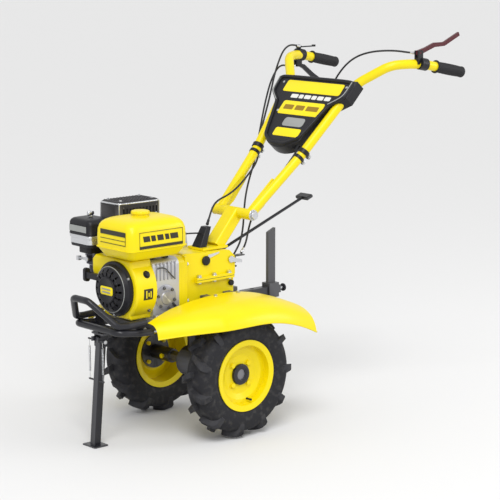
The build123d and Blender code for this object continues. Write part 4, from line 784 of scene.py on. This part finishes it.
for side, word in ((1, "left"), (-1, "right")):
    clamp_ring("tube_clamp_" + word, RUN[1], RUN[2], 0.02, 15.8, 20, 8, MATS["black_plastic"],
               side)
    clamp_ring("cable_tie_" + word, RUN[0], RUN[1], 0.925, 15.8, 18.4, 6,
               MATS["black_plastic"], side)
GRIP = Vector((-200, 9, -39)).normalized()
for side, word in ((1, "left"), (-1, "right")):
    start = at(-812, side * 303.5, 1157)
    way = Vector((GRIP.x, side * GRIP.y, GRIP.z))
    profile = [(16.1, 0.2), (21.5, 0.2), (22.5, 1.2), (22.5, 3.2), (21.2, 4.2)]
    for k in range(25):
        h = 8 + 4.6 * k
        swell = 1.2 * sin(pi * k / 24)
        profile += [(17.3 + swell, h), (18.3 + swell, h + 0.8), (18.3 + swell, h + 2.8),
                    (17.3 + swell, h + 3.6)]
    profile += [(19.2, 126), (19.2, 129), (17.4, 131.6), (13, 132.8), (0, 133)]
    rings = []
    axis, u, v = frame_of(way)
    for r, h in profile:
        rings.append([start + axis * (h / 1000) + (u * cos(2 * pi * k / 48)
                      + v * sin(2 * pi * k / 48)) * (max(r, 0.02) / 1000) for k in range(48)])
    grip = rings_mesh("grip_" + word, rings)
    keep(grip, MATS["grip_rubber"], "handlebar", stands_for=["grips"] if side > 0 else (),
         angle=50)

# ---------------------------------------------------------------- console
ACROSS = (0, 1, 0)
UP = (-0.6675, 0, 0.7446)
OUT = (0.7446, 0, 0.6675)
FACE = ((-469.1, 0, 1018.0), ACROSS, UP, OUT)


def on_face(a, b, lift=0.0):
    """A place on the console's face: across, up along it, and out from it, in millimetres."""
    o = FACE[0]
    return at(*[o[k] + ACROSS[k] * a + UP[k] * b + OUT[k] * lift for k in range(3)])


def face_patch(name, a0, a1, b0, b1, corner, mat, thick=0.8):
    """A thin rounded patch on the console's face."""
    w, h = a1 - a0, b1 - b0
    shape = round_rect(w, h, corner, 6)
    rings = [[on_face((a0 + a1) / 2 + u * s, (b0 + b1) / 2 + v * s, z) for u, v in shape]
             for s, z in ((1, -0.2), (1, thick * 0.7), (0.985, thick))]
    return keep(rings_mesh(name, rings), mat, "handlebar", angle=30)


face_patch("console_band_top", -132, 146, 62, 110, 9, DECAL_YELLOW)
for k, (s, e) in enumerate(((-74, -40), (-34, -14), (-8, 22), (28, 50), (56, 84), (90, 118))):
    face_patch("console_mark_%d" % k, s, e, 37, 53, 4, DECAL_WHITE, 1.2)
face_patch("console_band_middle", -92, 110, -32, 24, 9, DECAL_YELLOW)
for k, (s, e) in enumerate(((-76, -30), (-20, 24), (34, 92))):
    face_patch("console_name_%d" % k, s, e, -12, 8, 3, DECAL_BROWN, 1.2)
face_patch("console_plate", -36, 64, -80, -44, 12, GREY_PRINT_AND_HIGHLIGHT, 1.2)
face_patch("console_band_low", -52, 72, -122, -88, 8, DECAL_YELLOW)
rim_points = [(-82, -124), (-127, 20), (-174, 60), (-178, 124), (178, 124), (174, 60), (127, 20),
              (82, -124), (32, -152), (-32, -152)]
rim = []
for i, (a, b) in enumerate(rim_points):
    c, d = rim_points[(i + 1) % len(rim_points)]
    rim += [on_face(a + (c - a) * t, b + (d - b) * t, 1.0) for t in (0.08, 0.5, 0.92)]
curve_tube("console_rim", rim, 6.5, MATS["black_plastic"], "handlebar", closed=True)
# grey lines along the upper sides of the console's bezel: painted highlights on its raised edge
for side in (1, -1):
    line = [on_face(side * a, b, lift) for a, b, lift in
            ((127, 20, 7.4), (150, 38, 7.4), (172, 58, 7.4), (176, 90, 7.4), (177, 118, 7.4))]
    curve_tube("console_edge_highlight_%d" % (side + 1), line, 1.8, GREY_PRINT_AND_HIGHLIGHT, "handlebar")
for k, (a, b) in enumerate(((-150, 100), (158, 100), (-96, -20), (100, -60))):
    button = lathe("console_screw_%d" % k, [(0, -0.4), (5, -0.4), (5, 1.2), (3.6, 2), (0, 2.2)],
                   on_face(a, b), OUT, 24)
    keep(button, MATS["steel"], "handlebar")

# ---------------------------------------------------------------- control cables
ROUTES = {
    "clutch": ([(-727, 287.5, 1206), (-703, 279, 1209), (-668, 262, 1215), (-634, 236, 1216),
                (-610, 198, 1211), (-594, 154, 1197), (-592, 108, 1172), (-592, 68, 1137),
                (-574, 50, 1093), (-540, 52, 1049), (-504, 60, 1006), (-468, 67, 964),
                (-434, 67, 922), (-396, 65, 883), (-356, 68, 845), (-316, 64, 805),
                (-278, 56, 764), (-246, 45, 722), (-222, 36, 678), (-206, 34, 638),
                (-190, 42, 602), (-170, 53, 581), (-149, 60, 562.6)], (-150, 40, 545)),
    "reverse": ([(-728, -300, 1130), (-702, -299, 1126), (-664, -290, 1136), (-628, -276, 1134),
                 (-592, -259, 1116), (-556, -242, 1086), (-522, -222, 1048), (-490, -203, 1004),
                 (-460, -184, 958), (-430, -164, 912), (-399, -143, 868), (-364, -114, 830),
                 (-322, -84, 800), (-282, -56, 766), (-248, -31, 726), (-222, -8, 684),
                 (-204, 8, 636), (-186, 15, 590), (-162, 14, 556), (-147, 12, 534.6)],
                (-150, 10, 530)),
    "throttle": ([(-736, -285.2, 1200), (-706, -280, 1206), (-668, -270, 1207), (-634, -262, 1190),
                  (-604, -252, 1156), (-572, -238, 1114), (-540, -219, 1068), (-506, -198, 1022),
                  (-470, -178, 976), (-438, -162, 926), (-408, -140, 876), (-376, -110, 842),
                  (-338, -82, 824), (-296, -66, 800), (-254, -58, 772), (-214, -50, 752),
                  (-176, -42, 740), (-140, -33, 734), (-108, -22, 726), (-84, -12, 708),
                  (-68, -6, 684), (-54, -2, 658.6)], (-70, -6, 670)),
}
for name, (route, low) in ROUTES.items():
    line = curve_tube("line_" + name, [at(*p) for p in route], 3.2, None, None)
    sheath = curve_mesh("sheath_" + name, line, MATS["cable_black"])
    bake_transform(sheath)
    if name == "clutch":
        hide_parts("control_cables")
    tip, before = at(*route[-1]), at(*route[-2])
    way = (before - tip).normalized()
    boot = lathe("boot_" + name, [(0, -1), (4.6, -1), (5.2, 0.4), (5.2, 5), (4.4, 6), (4.4, 15),
                                  (3.4, 19), (3.3, 20)], tip + way * 0.002, way, 28)
    keep(boot, MATS["black_plastic"] if name != "clutch" else MATS["steel"], "frame")
    tip, after = at(*route[0]), at(*route[1])
    way = (after - tip).normalized()
    nut = lathe("adjuster_" + name, [(0, 0), (5, 0), (5, 7), (4, 7.5), (4, 15), (3.3, 18)], tip,
                way, 28)
    keep(nut, SILVER, "handlebar")

# ---------------------------------------------------------------- stand springs
COIL_TURNS = 34
for side, word in ((1, "left"), (-1, "right")):
    top, foot = at(410, side * 34, 339.7), at(409, side * 34, 215.3)
    way = (foot - top).normalized()
    axis, u, v = frame_of(way)
    line = [top, top + way * 0.016]
    for k in range(COIL_TURNS * 8 + 1):
        a = 2 * pi * k / 8
        line.append(top + way * (0.02 + 0.084 * k / (COIL_TURNS * 8))
                    + (u * cos(a) + v * sin(a)) * 0.0030)
    line += [foot - way * 0.016, foot]
    wire = curve_tube("wire_" + word, line, 0.8, None, None)
    wire.data.bevel_resolution = 2
    wire.data.resolution_u = 2
    coil = curve_mesh("coil_" + word, wire, MATS["steel"])
    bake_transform(coil)
    if side > 0:
        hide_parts("stand_springs")

# ---------------------------------------------------------------- floor, light and camera
floor_mesh = bpy.data.meshes.new("floor")
floor_mesh.from_pydata([(-40, -40, 0), (40, -40, 0), (40, 40, 0), (-40, 40, 0)], [],
                       [(0, 1, 2, 3)])
floor = bpy.data.objects.new("floor", floor_mesh)
bpy.context.collection.objects.link(floor)
pale = bpy.data.materials.new("pale_floor")
pale.use_nodes = True
pale_inputs = pale.node_tree.nodes["Principled BSDF"].inputs
pale_inputs["Base Color"].default_value = (0.72, 0.72, 0.72, 1)
pale_inputs["Roughness"].default_value = 0.95
pale_inputs["Specular IOR Level"].default_value = 0.1
floor.data.materials.append(pale)

world = bpy.data.worlds.new("studio")
bpy.context.scene.world = world
world.use_nodes = True
sky = world.node_tree.nodes["Background"].inputs
sky["Color"].default_value = (0.84, 0.84, 0.84, 1)
sky["Strength"].default_value = 0.92


def aim(place, target):
    """The turn that points a lamp at a place toward a target."""
    return (Vector(target) - Vector(place)).to_track_quat("-Z", "Y").to_euler()


def area_light(name, place, target, size, power):
    """A soft square light aimed at a place."""
    data = bpy.data.lights.new(name, "AREA")
    data.size = size
    data.energy = power
    lamp = bpy.data.objects.new(name, data)
    bpy.context.collection.objects.link(lamp)
    lamp.location = place
    lamp.rotation_euler = aim(place, target)


sun_data = bpy.data.lights.new("sun", "SUN")
sun_data.energy = 1.3
sun_data.angle = radians(25)
sun = bpy.data.objects.new("sun", sun_data)
bpy.context.collection.objects.link(sun)
sun.rotation_euler = aim((2.2, 2.0, 4.5), (0, 0, 0))
area_light("key", (2.6, 3.2, 3.0), (0, 0, 0.6), 1.6, 60)
area_light("side", (-2.8, 2.6, 2.0), (0, 0, 0.7), 1.4, 30)

camera_data = bpy.data.cameras.new("camera")
camera = bpy.data.objects.new("camera", camera_data)
bpy.context.collection.objects.link(camera)
camera.location = at(3775.9, 4497.8, 1646.4)
camera.rotation_euler = (radians(90 - 10.28), 0, radians(228.226 - 90))
camera_data.sensor_width = 36
camera_data.lens = 131.02
bpy.context.scene.camera = camera
bpy.context.scene.view_settings.view_transform = "Standard"
